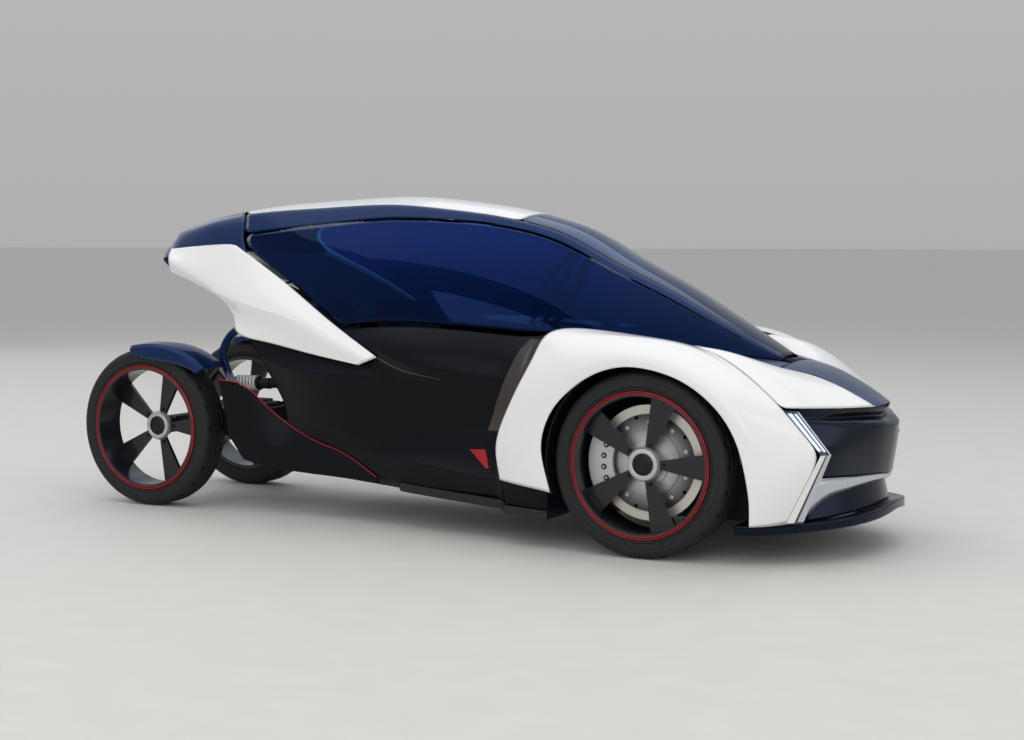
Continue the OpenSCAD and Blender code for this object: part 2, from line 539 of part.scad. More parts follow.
// Dark strips between the glass base and the wings
cowl_n = 12;
spine_x = tip_x + 34;
cowl_grid = [for (i = [0:cowl_n]) let (t = i / cowl_n, o = t < 0.5 ? spline(wing_net[3], 4 + 4 * t)
    : hood_in(mix(fa + 86, spine_x - 1, 2 * t - 1)),
  e = t < 0.5 ? mix(o, hood_in(max(o[0], fa + 86)), max(0, 4 * t - 1.2) / 0.8 * 0.98) : o, x = e[0],
    b = min(x, tip_x),
  q = [x, base_y(b) + shut + 2, base_z(b) - 2 - 0.2 * (x - b)])
  [for (j = [0:2]) mix(e - [0, 0.7, 0], q, j / 2) + (j == 1 ? [0, 0, 2] : [0, 0, 0])]];
module cowl_left() {
  color([0.05, 0.06, 0.2]) panel(cowl_grid, skin_wall);
}

module cowl_strips() {
  both() cowl_left();
}

module hood_spine() {
  n = 8;
  g = [for (j = [0:6]) let (a = j / 3 - 1)
    [for (i = [0:n]) let (w = hood_in(mix(spine_x, fa + 632, i / n))[1] - 1,
    x = mix(spine_x, grille_top(abs(a) * w)[0] - seam, i / n), e = hood_in(x))
    [x, a * w, e[2] + 14 * (1 - a * a) * (1 - 0.8 * i / n)]]];
  color([0.05, 0.06, 0.2]) panel(g, skin_wall);
  // Lugs and pin of the canopy hinge
  color([0.2, 0.2, 0.22]) {
    along_y(hinge_x, -64, hinge_z) cylinder(r = 6, h = 128);
    both() {
      along_y(hinge_x, 52, hinge_z) cylinder(r = 9, h = 10);
      translate([hinge_x - 2, 52, hinge_z - 26]) cube([34, 10, 20]);
    }
  }
}

// Rows of the grille: share of the width, shift in X at the centre and at the ends, shift in Z.
// It runs back under the hood's edge, out round a bar, and down a flat panel.
grille_rows = [[1, 0, 0, 0], [1.005, -3, -3, -16], [1.01, -24, 3, -30], [1.01, 18, 18, -41],
  [1.005, 32, 26, -58],
  [0.9975, 30, 38, -78], [0.985, 27, 60, -112], [0.985, 18, 67, -168], [0.985, 10, 50, -217]];
function grille_pt(r, a) = let (p = grille_top(a * 400 * r[0])) [p[0] + mix(r[1], r[2], a * a) - 0.8, p[1],
  p[2] + r[3] - 0.8];
function both_ways(half) = concat([for (i = [len(half) - 1:-1:1]) [half[i][0], -half[i][1], half[i][2]]],
  half);
module nose_grille() {
  color([0.04, 0.04, 0.05])
    panel([for (r = grille_rows) both_ways([for (k = [0:9]) grille_pt(r, k / 9)])], skin_wall, -1);
}

// Lamp: a chevron between the wing's edge and its own inner edge
lamp_in = [[fa + 482, 424, 485], [fa + 582, 402, 352], [fa + 500, 420, 135]];
lamp_steps = [8.06, 8.3, 8.54, 8.78, 9, 9.25, 9.5, 9.75, 10];
module light_left() {
  g = [for (j = [0:2]) [for (s = lamp_steps) mix(kinked(wing_net[3], s) + [0.5, -0.5, 0],
    s < 9 ? mix(lamp_in[0], lamp_in[1], (s - lamp_steps[0]) / (9 - lamp_steps[0]))
      : mix(lamp_in[1], lamp_in[2], s - 9), j / 2)]];
  color([0.8, 0.85, 0.95]) slab(g, [for (r = g) [for (p = r) p - [8, 11, 0]]], -1);
}

module light_blades() {
  both() light_left();
}

// Bright strip under the grille, thin in the middle, with a leg down at each end
module nose_trim() {
  rows = [for (k = [0:12]) let (a = k / 12, p = grille_pt(grille_rows[8], a) + [0.5, 0, -0.7],
    h = keyed([[0, 14], [0.31, 22], [0.65, 42], [0.9, 68], [1, 134]], a),
    d = keyed([[0, 3], [0.65, 8], [0.9, 14], [1, 42]], a)) [p, p - [d, a < 0.95 ? 0 : -8, h]]];
  color([0.75, 0.76, 0.78]) panel([for (e = [1, 0]) both_ways([for (r = rows) r[e]])], skin_wall);
}

module nose_lower() {
  g = loft([[for (j = [-4:4]) [fa + 624 - 9 * j * j, 88 * j, 246 - abs(j) * 7]],
    [for (j = [-4:4]) [fa + 640 - 9 * j * j, 94 * j, mix(163.9, 133.8, abs(j) / 4)]]], 12, 3);
  color([0.03, 0.03, 0.04]) panel(g, skin_wall, -1);
}

module splitter() {
  back = [for (j = [-5:5]) [fa + 300.5, 98 * j, floor_clear + floor_wall - 4]];
  lip = [for (j = [-5:5]) let (a = abs(j) / 5) [fa + front_overhang - 300 * pow(a, 2.8),
    98 * j, mix(168, 126, a)]];
  color([0.04, 0.05, 0.15]) panel(loft([back, mix(back, lip, 0.6), lip], 14, 4), 28, -1, 0);
}

// Front end under the skin

module foot_tunnel() {
  color([0.08, 0.08, 0.09]) difference() {
    translate([0, tunnel_half, 0]) rotate([90, 0, 0]) linear_extrude(2 * tunnel_half) polygon([
      [fa - 326, floor_clear + floor_wall], [fa + 295, floor_clear + floor_wall], [fa + 295, 440],
        [fa + 200, 560],
      [fa - 326, 592]]);
    translate([0, tunnel_half - tunnel_wall, 0]) rotate([90, 0, 0])
      linear_extrude(2 * (tunnel_half - tunnel_wall)) polygon([
      [fa - 360, floor_clear], [fa + 295 - tunnel_wall, floor_clear],
        [fa + 295 - tunnel_wall, 440 - tunnel_wall],
      [fa + 196, 560 - tunnel_wall], [fa - 360, 592 - tunnel_wall]]);
  }
  // Struts from the tunnel's roof to just under the cowl strips
  strut_r = 8;
  top = inner_pt(cowl_grid, 8, 1, skin_wall) - (strut_r + 0.6) * grid_normal(cowl_grid, 8, 1);
  color([0.08, 0.08, 0.09]) both() hull() {
    translate([top[0], min(top[1], tunnel_half - tunnel_wall), 556]) sphere(r = strut_r, $fn = 16);
    translate(top) sphere(r = strut_r, $fn = 16);
  }
}

// Round liners over the front wheels
module wheel_liners() {
  color([0.05, 0.05, 0.06]) both() translate([fa, tunnel_half + 0.3, tyre_r]) rotate([-90, 0, 0])
    rotate([0, 0, 160]) rotate_extrude(angle = 196) translate([332, 0]) square([6, 530 - tunnel_half]);
}

// Upper and lower arms with eyes for the kingpins
module arm(z, half) {
  difference() {
    union() {
      translate([fa, king_y, z - 9]) cylinder(r = 21, h = 18);
      for (s = [-1, 1]) translate([0, 0, z - 8]) linear_extrude(16) polygon([[fa - s * 10, king_y + 4],
        [fa + s * 14, king_y - 4],
        [fa + s * (half + 18), tunnel_half], [fa + s * (half - 12), tunnel_half]]);
    }
    translate([fa, king_y, z - 20]) cylinder(r = king_r + run_fit, h = 40);
  }
}

module front_arms() {
  color([0.16, 0.16, 0.17]) both() {
    arm(tyre_r - king_half, 105);
    arm(tyre_r + king_half, 85);
  }
}

// Upright with kingpin and stub axle
module knuckle_left() {
  color([0.35, 0.35, 0.37]) {
    translate([fa, king_y, tyre_r - king_half - 16]) cylinder(r = king_r, h = 2 * king_half + 32);
    translate([fa, king_y, tyre_r - king_half + 14]) cylinder(r = 21, h = 2 * king_half - 28);
    along_y(fa, king_y, tyre_r) cylinder(r = axle_r, h = king_offset + front_hub_z - 15);
    along_y(fa, king_y, tyre_r) cylinder(r = 40, h = 22);
    // Arm that carries the caliper
    translate([fa - 128, king_y - 8, tyre_r - 26]) cube([122, 16, 52]);
  }
}

// Caliper that straddles the brake disc behind the axle
module caliper_left() {
  y0 = king_y + 8.3;
  color([0.7, 0.7, 0.72]) difference() {
    translate([fa, y0, tyre_r]) rotate([-90, 0, 0]) rotate([0, 0, 150]) rotate_extrude(angle = 60)
      translate([118, 0]) square([88, 54]);
    along_y(fa, king_y + 20, tyre_r) cylinder(r = disc_r + 6, h = 25);
  }
}

// Brake disc with a raised hat, and small holes between the hat and the friction ring
module brake_disc_left() {
  color([0.6, 0.6, 0.62]) along_y(fa, king_y + 27, tyre_r) difference() {
    union() {
      cylinder(r = disc_r, h = 11);
      cylinder(r = 108, h = 16);
      cylinder(r = 70, h = 26);
    }
    translate([0, 0, -1]) cylinder(r = 28, h = 40);
    for (k = [0:9]) rotate([0, 0, 36 * k]) translate([disc_r - 38, 0, -1]) cylinder(r = 6, h = 40);
  }
}

// Wheels

module tyre(w) {
  rotate_extrude() polygon(concat(
    [[bead_r + 0.3, -w / 2 + 14], [bead_r + 6, -w / 2 + 3], [bead_r + 24, -w / 2]],
    [for (k = [0:5]) let (a = 15 * k) [tyre_r - 26 + 26 * sin(a), -w / 2 + 26 - 26 * cos(a)]],
    [[tyre_r, -w / 2 + 26], [tyre_r, w / 2 - 26]],
    [for (k = [0:5]) let (a = 90 - 15 * k) [tyre_r - 26 + 26 * sin(a), w / 2 - 26 + 26 * cos(a)]],
    [[bead_r + 24, w / 2], [bead_r + 6, w / 2 - 3], [bead_r + 0.3, w / 2 - 14]]));
}

// Rim with its outer face toward +Z; hub_z is the hub's outer end. The spokes widen outward.
module rim(w, hub_z, hub_l) {
  difference() {
    union() {
      rotate_extrude() polygon([[bead_r - 16, -w / 2 + 6], [bead_r, -w / 2 + 6], [bead_r, w / 2 - 6],
        [bead_r - 5, w / 2 - 2], [bead_r - 16, w / 2 - 4]]);
      translate([0, 0, hub_z - hub_l]) cylinder(r = 44, h = hub_l);
      for (k = [0:spokes - 1]) rotate([0, 0, 360 / spokes * k]) translate([0, 0, hub_z - 23])
        linear_extrude(14)
        polygon([[34, -10], [34, 10], [bead_r - 10, 46], [bead_r - 10, -46]]);
    }
    translate([0, 0, hub_z - hub_l - 1]) cylinder(r = axle_r + run_fit, h = hub_l - 13);
  }
}

module front_wheel_rim() {
  color([0.12, 0.12, 0.14]) along_y(fa, front_half_track, tyre_r)
    rim(front_tyre_w, front_hub_z, front_hub_z + king_offset - disc_seat);
}

module rear_wheel_rim() {
  color([0.12, 0.12, 0.14]) along_y(ra, rear_half_track, tyre_r) rim(rear_tyre_w, rear_hub_z, 40);
}

module tyre_fl() {
  color([0.05, 0.05, 0.05]) along_y(fa, front_half_track, tyre_r) tyre(front_tyre_w);
}

module tyre_fr() {
  mirror([0, 1, 0]) tyre_fl();
}

module tyre_rl() {
  color([0.05, 0.05, 0.05]) along_y(ra, rear_half_track, tyre_r) tyre(rear_tyre_w);
}

module tyre_rr() {
  mirror([0, 1, 0]) tyre_rl();
}

module rim_fl() {
  front_wheel_rim();
}

module rim_fr() {
  mirror([0, 1, 0]) front_wheel_rim();
}

module rim_rl() {
  rear_wheel_rim();
}

module rim_rr() {
  mirror([0, 1, 0]) rear_wheel_rim();
}

module disc_fl() {
  brake_disc_left();
}

module disc_fr() {
  mirror([0, 1, 0]) brake_disc_left();
}

module knuckle_l() {
  knuckle_left();
}

module knuckle_r() {
  mirror([0, 1, 0]) knuckle_left();
}

module caliper_l() {
  caliper_left();
}

module caliper_r() {
  mirror([0, 1, 0]) caliper_left();
}

// Rear end

module swingarm() {
  color([0.1, 0.1, 0.12]) {
    along_y(ra + 592, -swing_y - 26, tyre_r) cylinder(r = 24, h = 2 * swing_y + 52);
    along_y(ra, -rear_inner + 20, tyre_r) cylinder(r = 34, h = 2 * rear_inner - 40);
    along_y(ra, -rear_inner - 30, tyre_r) cylinder(r = axle_r, h = 2 * rear_inner + 60);
    both() translate([0, swing_y + 14, 0]) rotate([90, 0, 0]) linear_extrude(28)
      polygon([[ra, tyre_r - 26], [ra, tyre_r + 26],
      [ra + 280, tyre_r + 70], [ra + 340, tyre_r + 66], [ra + 592, tyre_r + 22], [ra + 592, tyre_r - 22],
        [ra + 300, tyre_r - 34]]);
    translate([ra + 268, -swing_y, tyre_r + 10]) cube([44, 2 * swing_y, 44]);
    // Posts for the dampers
    both() translate([ra + 276, swing_y - 40, tyre_r + 40]) cube([28, 54, 150]);
  }
}

module drive_motor() {
  color([0.2, 0.2, 0.22]) translate([ra + 60, 54 - swing_y, tyre_r - 60])
    cube([207.7, 2 * (swing_y - 54), 130]);
}

module damper_left() {
  z0 = tyre_r + 172;
  y0 = rear_inner - 66;
  color([0.85, 0.85, 0.86]) translate([ra + 304.3, y0, z0]) rotate([0, 90, 0]) rotate_extrude()
    polygon(concat([[0, 0]],
    [for (k = [0:5]) for (p = [[22, 16 * k], [29, 16 * k + 8]]) p], [[22, 96], [22, 190], [0, 190]]));
}

module dampers() {
  both() damper_left();
}

// Curved bars from the cabin back over the dampers to the side panels
hoop_y = rear_inner - 21;
hoop_path = [[ra + 408, glass_half - 100, 689], [ra + 352, mix(glass_half - 100, hoop_y, 0.5), 676],
  [ra + 292, hoop_y + 1, 640], [ra + 262, hoop_y, 580], [ra + 280, hoop_y, 530],
  [ra + 318, mix(hoop_y, glass_half - 59, 0.32), 496], [ra + 388, glass_half - 59, 470]];
module hoop_left() {
  path = [for (i = [0:12]) spline(hoop_path, i / 2)];
  g = [for (w = [-14, 14]) [for (i = [0:12]) let (d = unit(path[min(i + 1, 12)] - path[max(i - 1, 0)]),
    q = unit(cross(d, [0, 1, 0])))
    path[i] + w * q + [0, 8, 0]]];
  color([0.05, 0.06, 0.2]) panel(g, 16, -1, 0);
}

module rear_hoops() {
  both() hoop_left();
}

module mudguard_left() {
  n = 12;
  y1 = rear_half_track - rear_tyre_w / 2 - 12;
  y2 = rear_half_track + rear_tyre_w / 2 + 13;
  g = [for (i = [0:n]) let (t = i / n, a = mix(100, 39, t), r = tyre_r + mix(21, 76, t * t * (2 - t)),
    s = r - 34 - 42 * sin(180 * t) * (1 - 0.3 * t)) [for (q = [[y1, r - 26], [y1 + 10, r - 6],
      [mix(y1, y2, 0.5), r + 4], [y2 - 12, r - 4],
      [y2, r - 18], [y2, s]]) [ra + q[1] * cos(a), q[0], tyre_r + q[1] * sin(a)]]];
  color([0.05, 0.06, 0.2]) panel(g, 5, -1);
}

module mudguards() {
  both() mudguard_left();
}

// Cabin

module seat(x, z, s) {
  translate([x, seat_half, z]) rotate([90, 0, 0]) linear_extrude(2 * seat_half) scale(s) polygon([
    [250, 0], [262, 96], [220, 118], [20, 92], [-150, 420], [-230, 640], [-266, 700], [-300, 690],
      [-300, 640], [-190, 330], [-90, 40], [-60, 0]]);
}

seat_front_x = ra + 0.557 * wheelbase;
seat_rear_x = ra + 0.366 * wheelbase;
battery_x = ra + 0.337 * wheelbase;
battery_h = 110;
module seat_front() {
  color([0.3, 0.3, 0.33]) seat(seat_front_x, floor_top(seat_front_x - 60) + 0.5, 0.92);
}

module seat_rear() {
  color([0.3, 0.3, 0.33]) seat(seat_rear_x, floor_top(battery_x) + battery_h + 0.6, 0.72);
}

module battery_block() {
  color([0.25, 0.25, 0.27]) translate([battery_x, -200, floor_top(battery_x) + 0.3])
    cube([0.132 * wheelbase, 400, battery_h]);
}

module dashboard() {
  color([0.1, 0.1, 0.11]) {
    translate([0, 225, 0]) rotate([90, 0, 0]) linear_extrude(450) polygon([
      [fa - 326, 592.4], [fa - 120, 579.9], [fa - 140, 660], [fa - 300, 690], [fa - 342, 660]]);
    // Steering column
    translate([fa - 500, 0, 800]) rotate([0, 118, 0]) translate([0, 0, -30]) cylinder(r = 16, h = 260);
  }
}

module steering_wheel() {
  color([0.12, 0.12, 0.13]) translate([fa - 500, 0, 800]) rotate([0, 118, 0]) translate([0, 0, -52]) {
    rotate_extrude() translate([wheel_rim_r, 0]) circle(r = 12);
    difference() {
      translate([0, 0, -12]) cylinder(r = 38, h = 58);
      translate([0, 0, 20]) cylinder(r = 16 + run_fit, h = 60);
    }
    for (a = [0, 90, 180]) rotate([0, 0, a]) translate([30, -14, -6]) cube([wheel_rim_r - 36, 28, 10]);
  }
}

/* [Hidden] */

floor_pan();
body_sides();
rear_fairings();
shoulders();
tail_cap();
rear_bulkhead();
wings();
hood_halves();
hood_spine();
cowl_strips();
nose_grille();
nose_lower();
nose_trim();
light_blades();
splitter();
foot_tunnel();
wheel_liners();
front_arms();
swingarm();
drive_motor();
dampers();
rear_hoops();
mudguards();
seat_front();
seat_rear();
battery_block();
dashboard();
roof_panel();
windscreen();
canopy_rails();
side_glass();
canopy_hinge();
steering_wheel();
knuckle_l();
knuckle_r();
caliper_l();
caliper_r();
disc_fl();
disc_fr();
tyre_fl();
tyre_fr();
tyre_rl();
tyre_rr();
rim_fl();
rim_fr();
rim_rl();
rim_rr();
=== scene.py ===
# Looks for a low tandem two-seat concept car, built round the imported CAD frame.
# Metres, X forward, Y to the car's left, Z up, ground at zero; sizes in mm are divided by 1000.
import json
import math

import bmesh
import bpy
from mathutils import Matrix, Vector
from mathutils.bvhtree import BVHTree


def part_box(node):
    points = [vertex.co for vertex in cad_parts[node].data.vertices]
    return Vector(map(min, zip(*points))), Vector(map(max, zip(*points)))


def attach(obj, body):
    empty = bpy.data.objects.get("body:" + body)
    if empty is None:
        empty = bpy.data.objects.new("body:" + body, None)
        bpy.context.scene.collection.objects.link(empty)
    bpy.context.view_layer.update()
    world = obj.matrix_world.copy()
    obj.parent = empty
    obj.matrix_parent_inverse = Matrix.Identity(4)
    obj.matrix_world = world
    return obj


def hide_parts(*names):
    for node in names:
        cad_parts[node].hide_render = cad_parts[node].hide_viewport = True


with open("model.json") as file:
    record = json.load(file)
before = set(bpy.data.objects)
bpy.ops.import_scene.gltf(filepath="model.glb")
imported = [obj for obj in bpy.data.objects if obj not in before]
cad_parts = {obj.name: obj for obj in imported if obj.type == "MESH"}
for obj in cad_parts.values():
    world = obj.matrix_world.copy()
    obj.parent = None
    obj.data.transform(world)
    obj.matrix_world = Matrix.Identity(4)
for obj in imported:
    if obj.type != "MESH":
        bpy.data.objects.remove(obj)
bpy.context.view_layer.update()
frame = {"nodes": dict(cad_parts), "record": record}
nodes = frame["nodes"]
body_members = frame["record"]["behaviour"]["bodies"]
body_of = {node: body for body, members in body_members.items() for node in members}
scene = bpy.context.scene

# Camera
# The photograph was taken from the right front at about waist height, with a short telephoto lens.
# The place and angle come from fitting the wheels and the ground line.
PHOTO_W = 1024
FOCAL_PX = 1710
SENSOR_MM = 36.0
camera_data = bpy.data.cameras.new("photo_camera")
camera_data.sensor_width = SENSOR_MM
camera_data.lens = FOCAL_PX / PHOTO_W * SENSOR_MM
camera = bpy.data.objects.new("photo_camera", camera_data)
camera.location = (2.992, -5.499, 1.010)
camera.rotation_euler = (math.radians(85.686), 0, math.radians(27.463))
scene.collection.objects.link(camera)
scene.camera = camera
scene.view_settings.view_transform = "Standard"


# Studio
# A pale matt floor that runs out to the horizon, under a soft sky that turns bluer overhead.
# One very large dim lamp above and low ones around it keep the dark lacquer from going grey.
def linear(hex_code):
    """sRGB hex colour as linear RGBA."""
    parts = [int(hex_code[i:i + 2], 16) / 255 for i in (1, 3, 5)]
    return [c / 12.92 if c <= 0.04045 else ((c + 0.055) / 1.055) ** 2.4 for c in parts] + [1.0]


def add_node(tree, kind, links=None, **settings):
    """A shader node with its settings, its input values and its incoming links."""
    node = tree.nodes.new(kind)
    for key, value in settings.items():
        if hasattr(node, key):
            setattr(node, key, value)
        else:
            node.inputs[key.replace("_", " ")].default_value = value
    for key, source in (links or {}).items():
        tree.links.new(source, node.inputs[key])
    return node


def new_material(name, **settings):
    """A material whose Principled shader has these socket values; returns material, tree and shader."""
    material = bpy.data.materials.new(name)
    material.use_nodes = True
    shader = material.node_tree.nodes["Principled BSDF"]
    for key, value in settings.items():
        shader.inputs[key.replace("_", " ")].default_value = value
    return material, material.node_tree, shader


def ramp_colours(ramp, stops):
    """Sets a colour ramp's stops from (place, hex colour) pairs."""
    band = ramp.color_ramp
    while len(band.elements) < len(stops):
        band.elements.new(0.5)
    for element, (place, colour) in zip(band.elements, stops):
        element.position = place
        element.color = linear(colour)


def finish(name, kind, size, colours, rough, bump=0.0, stretch=(1, 1, 1), **settings):
    """A material whose pattern drives its colour, its roughness and a relief of bump mm.

    The pattern's cells are about size mm across; the bands of a wave are about a third of that."""
    material, tree, shader = new_material(name, **settings)
    coords = add_node(tree, "ShaderNodeTexCoord")
    scale = [1000 / size * s for s in stretch]
    place = add_node(tree, "ShaderNodeMapping", {"Vector": coords.outputs["Object"]}, Scale=scale)
    texture = add_node(tree, kind, {"Vector": place.outputs["Vector"]}, Scale=1.0)
    value = texture.outputs["Distance" if kind == "ShaderNodeTexVoronoi" else "Fac"]
    ramp = add_node(tree, "ShaderNodeValToRGB", {"Fac": value})
    ramp_colours(ramp, colours)
    tree.links.new(ramp.outputs["Color"], shader.inputs["Base Color"])
    spread = add_node(tree, "ShaderNodeMapRange", {"Value": value}, To_Min=rough[0], To_Max=rough[1])
    tree.links.new(spread.outputs["Result"], shader.inputs["Roughness"])
    if bump:
        relief = add_node(tree, "ShaderNodeBump", {"Height": value}, Distance=bump / 1000, Strength=0.6)
        tree.links.new(relief.outputs["Normal"], shader.inputs["Normal"])
    return material


FLOOR_SPAN = 400.0
floor_mesh = bpy.data.meshes.new("studio_floor")
floor_form = bmesh.new()
bmesh.ops.create_grid(floor_form, x_segments=1, y_segments=1, size=FLOOR_SPAN / 2)
floor_form.to_mesh(floor_mesh)
floor_form.free()
floor = bpy.data.objects.new("studio_floor", floor_mesh)
scene.collection.objects.link(floor)
# Poured screed: a faint cloudiness a hand's breadth across, no gloss
floor_mesh.materials.append(finish(
    "matt_screed", "ShaderNodeTexNoise", 140, [(0.35, "#cccbc8"), (0.7, "#cfcecb")], (0.6, 0.75)))

world = bpy.data.worlds.new("studio_world")
scene.world = world
world.use_nodes = True
sky = world.node_tree
sky_back = sky.nodes["Background"]
sky_back.inputs["Strength"].default_value = 0.78
sky_coords = add_node(sky, "ShaderNodeTexCoord")
sky_parts = add_node(sky, "ShaderNodeSeparateXYZ", {"Vector": sky_coords.outputs["Generated"]})
sky_ramp = add_node(sky, "ShaderNodeValToRGB", {"Fac": sky_parts.outputs["Z"]})
ramp_colours(sky_ramp, [(0.0, "#c4c4c3"), (0.15, "#cdced0"), (0.5, "#b6c3d8"), (1.0, "#aebdd6")])
sky.links.new(sky_ramp.outputs["Color"], sky_back.inputs["Color"])
# Mirrors, glass and the camera see that sky; matt surfaces are lit by a neutral one
sky_fill = add_node(sky, "ShaderNodeBackground", Color=linear("#dadad8"), Strength=0.85)
ray_kind = add_node(sky, "ShaderNodeLightPath")
ray_seen = add_node(
    sky, "ShaderNodeMath", {0: ray_kind.outputs["Is Camera Ray"], 1: ray_kind.outputs["Is Glossy Ray"]},
    operation="MAXIMUM")
ray_shown = add_node(
    sky, "ShaderNodeMath", {0: ray_seen.outputs["Value"], 1: ray_kind.outputs["Is Transmission Ray"]},
    operation="MAXIMUM")
sky_mix = add_node(
    sky, "ShaderNodeMixShader",
    {0: ray_shown.outputs["Value"], 1: sky_fill.outputs["Background"], 2: sky_back.outputs["Background"]})
sky.links.new(sky_mix.outputs["Shader"], sky.nodes["World Output"].inputs["Surface"])

LAMPS = (
    ("lamp_top", (0.0, -1.0, 6.5), (0, 0, 0), (12.0, 9.0), 250),
    ("lamp_side", (1.5, -9.0, 4.2), (66, 0, 6), (14.0, 5.0), 240),
    ("lamp_front", (9.0, -1.0, 4.0), (66, 0, 94), (8.0, 4.0), 115),
    ("lamp_back", (-9.0, 3.0, 4.5), (62, 0, -110), (8.0, 4.0), 95),
    ("lamp_far", (0.0, 7.0, 7.0), (48, 0, 180), (10.0, 4.0), 70),
)
for lamp_name, place, turn, size, watts in LAMPS:
    lamp_data = bpy.data.lights.new(lamp_name, "AREA")
    lamp_data.shape = "RECTANGLE"
    lamp_data.size, lamp_data.size_y = size
    lamp_data.energy = watts
    lamp = bpy.data.objects.new(lamp_name, lamp_data)
    lamp.location = place
    lamp.rotation_euler = [math.radians(a) for a in turn]
    scene.collection.objects.link(lamp)


# White panels
# Wings, hood halves, shoulder blades and roof are moulded panels in pearl white lacquer, bonded to the frame.
# Each is the CAD panel with its quads restored and smoothed; its rim stays crisp.
RIM_ANGLE = math.radians(38)
PANEL_LEVELS = 2
MERGE = 1e-5


def keep(name, form, body, material, stands_for=(), sharp=None):
    """Turns finished mesh code into a piece that rides on a body and takes one material."""
    bmesh.ops.recalc_face_normals(form, faces=form.faces)
    for face in form.faces:
        face.smooth = True
    mesh = bpy.data.meshes.new(name)
    form.to_mesh(mesh)
    form.free()
    if sharp:
        mesh.set_sharp_from_angle(angle=math.radians(sharp))
    mesh.materials.append(material)
    piece = bpy.data.objects.new(name, mesh)
    scene.collection.objects.link(piece)
    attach(piece, body)
    if stands_for:
        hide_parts(*stands_for)
    return piece


def node_form(node):
    """A copy of a CAD node's mesh with its doubled corners merged."""
    form = bmesh.new()
    form.from_mesh(nodes[node].data)
    bmesh.ops.remove_doubles(form, verts=form.verts, dist=MERGE)
    return form


def smooth_panel(node, material, shape=None):
    """A CAD panel as a subdivided surface with creased rims; it stands for the node.

    shape may rework the panel first, and gives back further edges with their crease weights."""
    form = node_form(node)
    form.faces.ensure_lookup_table()
    diagonals = []
    i = 0
    while i < len(form.faces) - 1:
        shared = set(form.faces[i].edges) & set(form.faces[i + 1].edges)
        flat = form.faces[i].normal.angle(form.faces[i + 1].normal, 0) < RIM_ANGLE
        if shared and flat:
            diagonals.append(shared.pop())
            i += 1
        i += 1
    bmesh.ops.dissolve_edges(form, edges=diagonals, use_verts=False)
    crease = form.edges.layers.float.new("crease_edge")
    for edge in form.edges:
        if len(edge.link_faces) == 2 and edge.calc_face_angle() > RIM_ANGLE:
            edge[crease] = 1.0
    if shape:
        for edge, weight in shape(form):
            edge[crease] = weight
    piece = keep(node + "_skin", form, body_of[node], material, (node,))
    soften = piece.modifiers.new("surface", "SUBSURF")
    soften.levels = PANEL_LEVELS
    soften.render_levels = PANEL_LEVELS
    return piece


# Pearl lacquer: fine mica flake under a clear coat, with a trace of orange peel
pearl_white = finish(
    "pearl_white_lacquer", "ShaderNodeTexNoise", 0.9, [(0.3, "#e3e3e3"), (0.7, "#efefee")], (0.26, 0.36),
    bump=0.01, Coat_Weight=0.8, Coat_Roughness=0.05)
for node in ("wings", "hood_halves", "roof_panel"):
    smooth_panel(node, pearl_white)

SCOOP_START = Vector((-0.969, 0, 0.823))
SCOOP_RUN = Vector((0.409, 0, -0.090))
SCOOP_DEPTH = 0.016
SCOOP_HEIGHT = 0.125
SCOOP_END_X = -0.42
SCOOP_FADE = 0.3
ON_LINE = 1e-4


def scoop(form):
    """Cuts a line across both shoulder blades and hollows the face below it; gives the line's creases."""
    everything = form.verts[:] + form.edges[:] + form.faces[:]
    bmesh.ops.bisect_plane(
        form, geom=everything, plane_co=SCOOP_START, plane_no=SCOOP_RUN.cross(Vector((0, 1, 0))))
    line = {}
    for vert in form.verts:
        below = SCOOP_START.z + (vert.co.x - SCOOP_START.x) * SCOOP_RUN.z / SCOOP_RUN.x - vert.co.z
        fade = min(1.0, max(0.0, (SCOOP_END_X - vert.co.x) / SCOOP_FADE))
        if abs(below) < ON_LINE:
            line[vert] = fade
        elif below > 0:
            push = math.sin(math.pi * min(below / SCOOP_HEIGHT, 1.0)) * fade * SCOOP_DEPTH
            vert.co.y -= math.copysign(push, vert.co.y)
    return [(e, line[e.verts[0]]) for e in form.edges if e.verts[0] in line and e.verts[1] in line]


smooth_panel("shoulders", pearl_white, shape=scoop)

# Navy panels
# Tail cap, canopy rails, hoops, mudguards, cowl strips and hood spine are moulded in dark navy.
# A blue flake under a thin clear coat shows where the sky falls on them.
navy = finish(
    "navy_flake_lacquer", "ShaderNodeTexVoronoi", 0.7, [(0.1, "#0a2858"), (0.8, "#051432")], (0.24, 0.36),
    bump=0.01, Coat_Weight=0.3, Coat_Roughness=0.06, Specular_Tint=linear("#4f8ae6"))
for node in ("tail_cap", "canopy_rails", "rear_hoops", "mudguards", "cowl_strips"):
    smooth_panel(node, navy)

HARD_EDGE = 30
COPLANAR = 1.0


def eased(node, width, material):
    """A CAD solid with its hard edges rounded by width mm; it stands for the node."""
    form = node_form(node)
    bmesh.ops.dissolve_limit(form, angle_limit=math.radians(COPLANAR), verts=form.verts, edges=form.edges)
    piece = keep(node + "_eased", form, body_of[node], material, (node,), sharp=HARD_EDGE)
    round_off = piece.modifiers.new("eased_edges", "BEVEL")
    round_off.width = width / 1000
    round_off.segments = 2
    round_off.limit_method = "ANGLE"
    round_off.angle_limit = math.radians(HARD_EDGE)
    round_off.harden_normals = True
    return piece


eased("hood_spine", 1.5, navy)

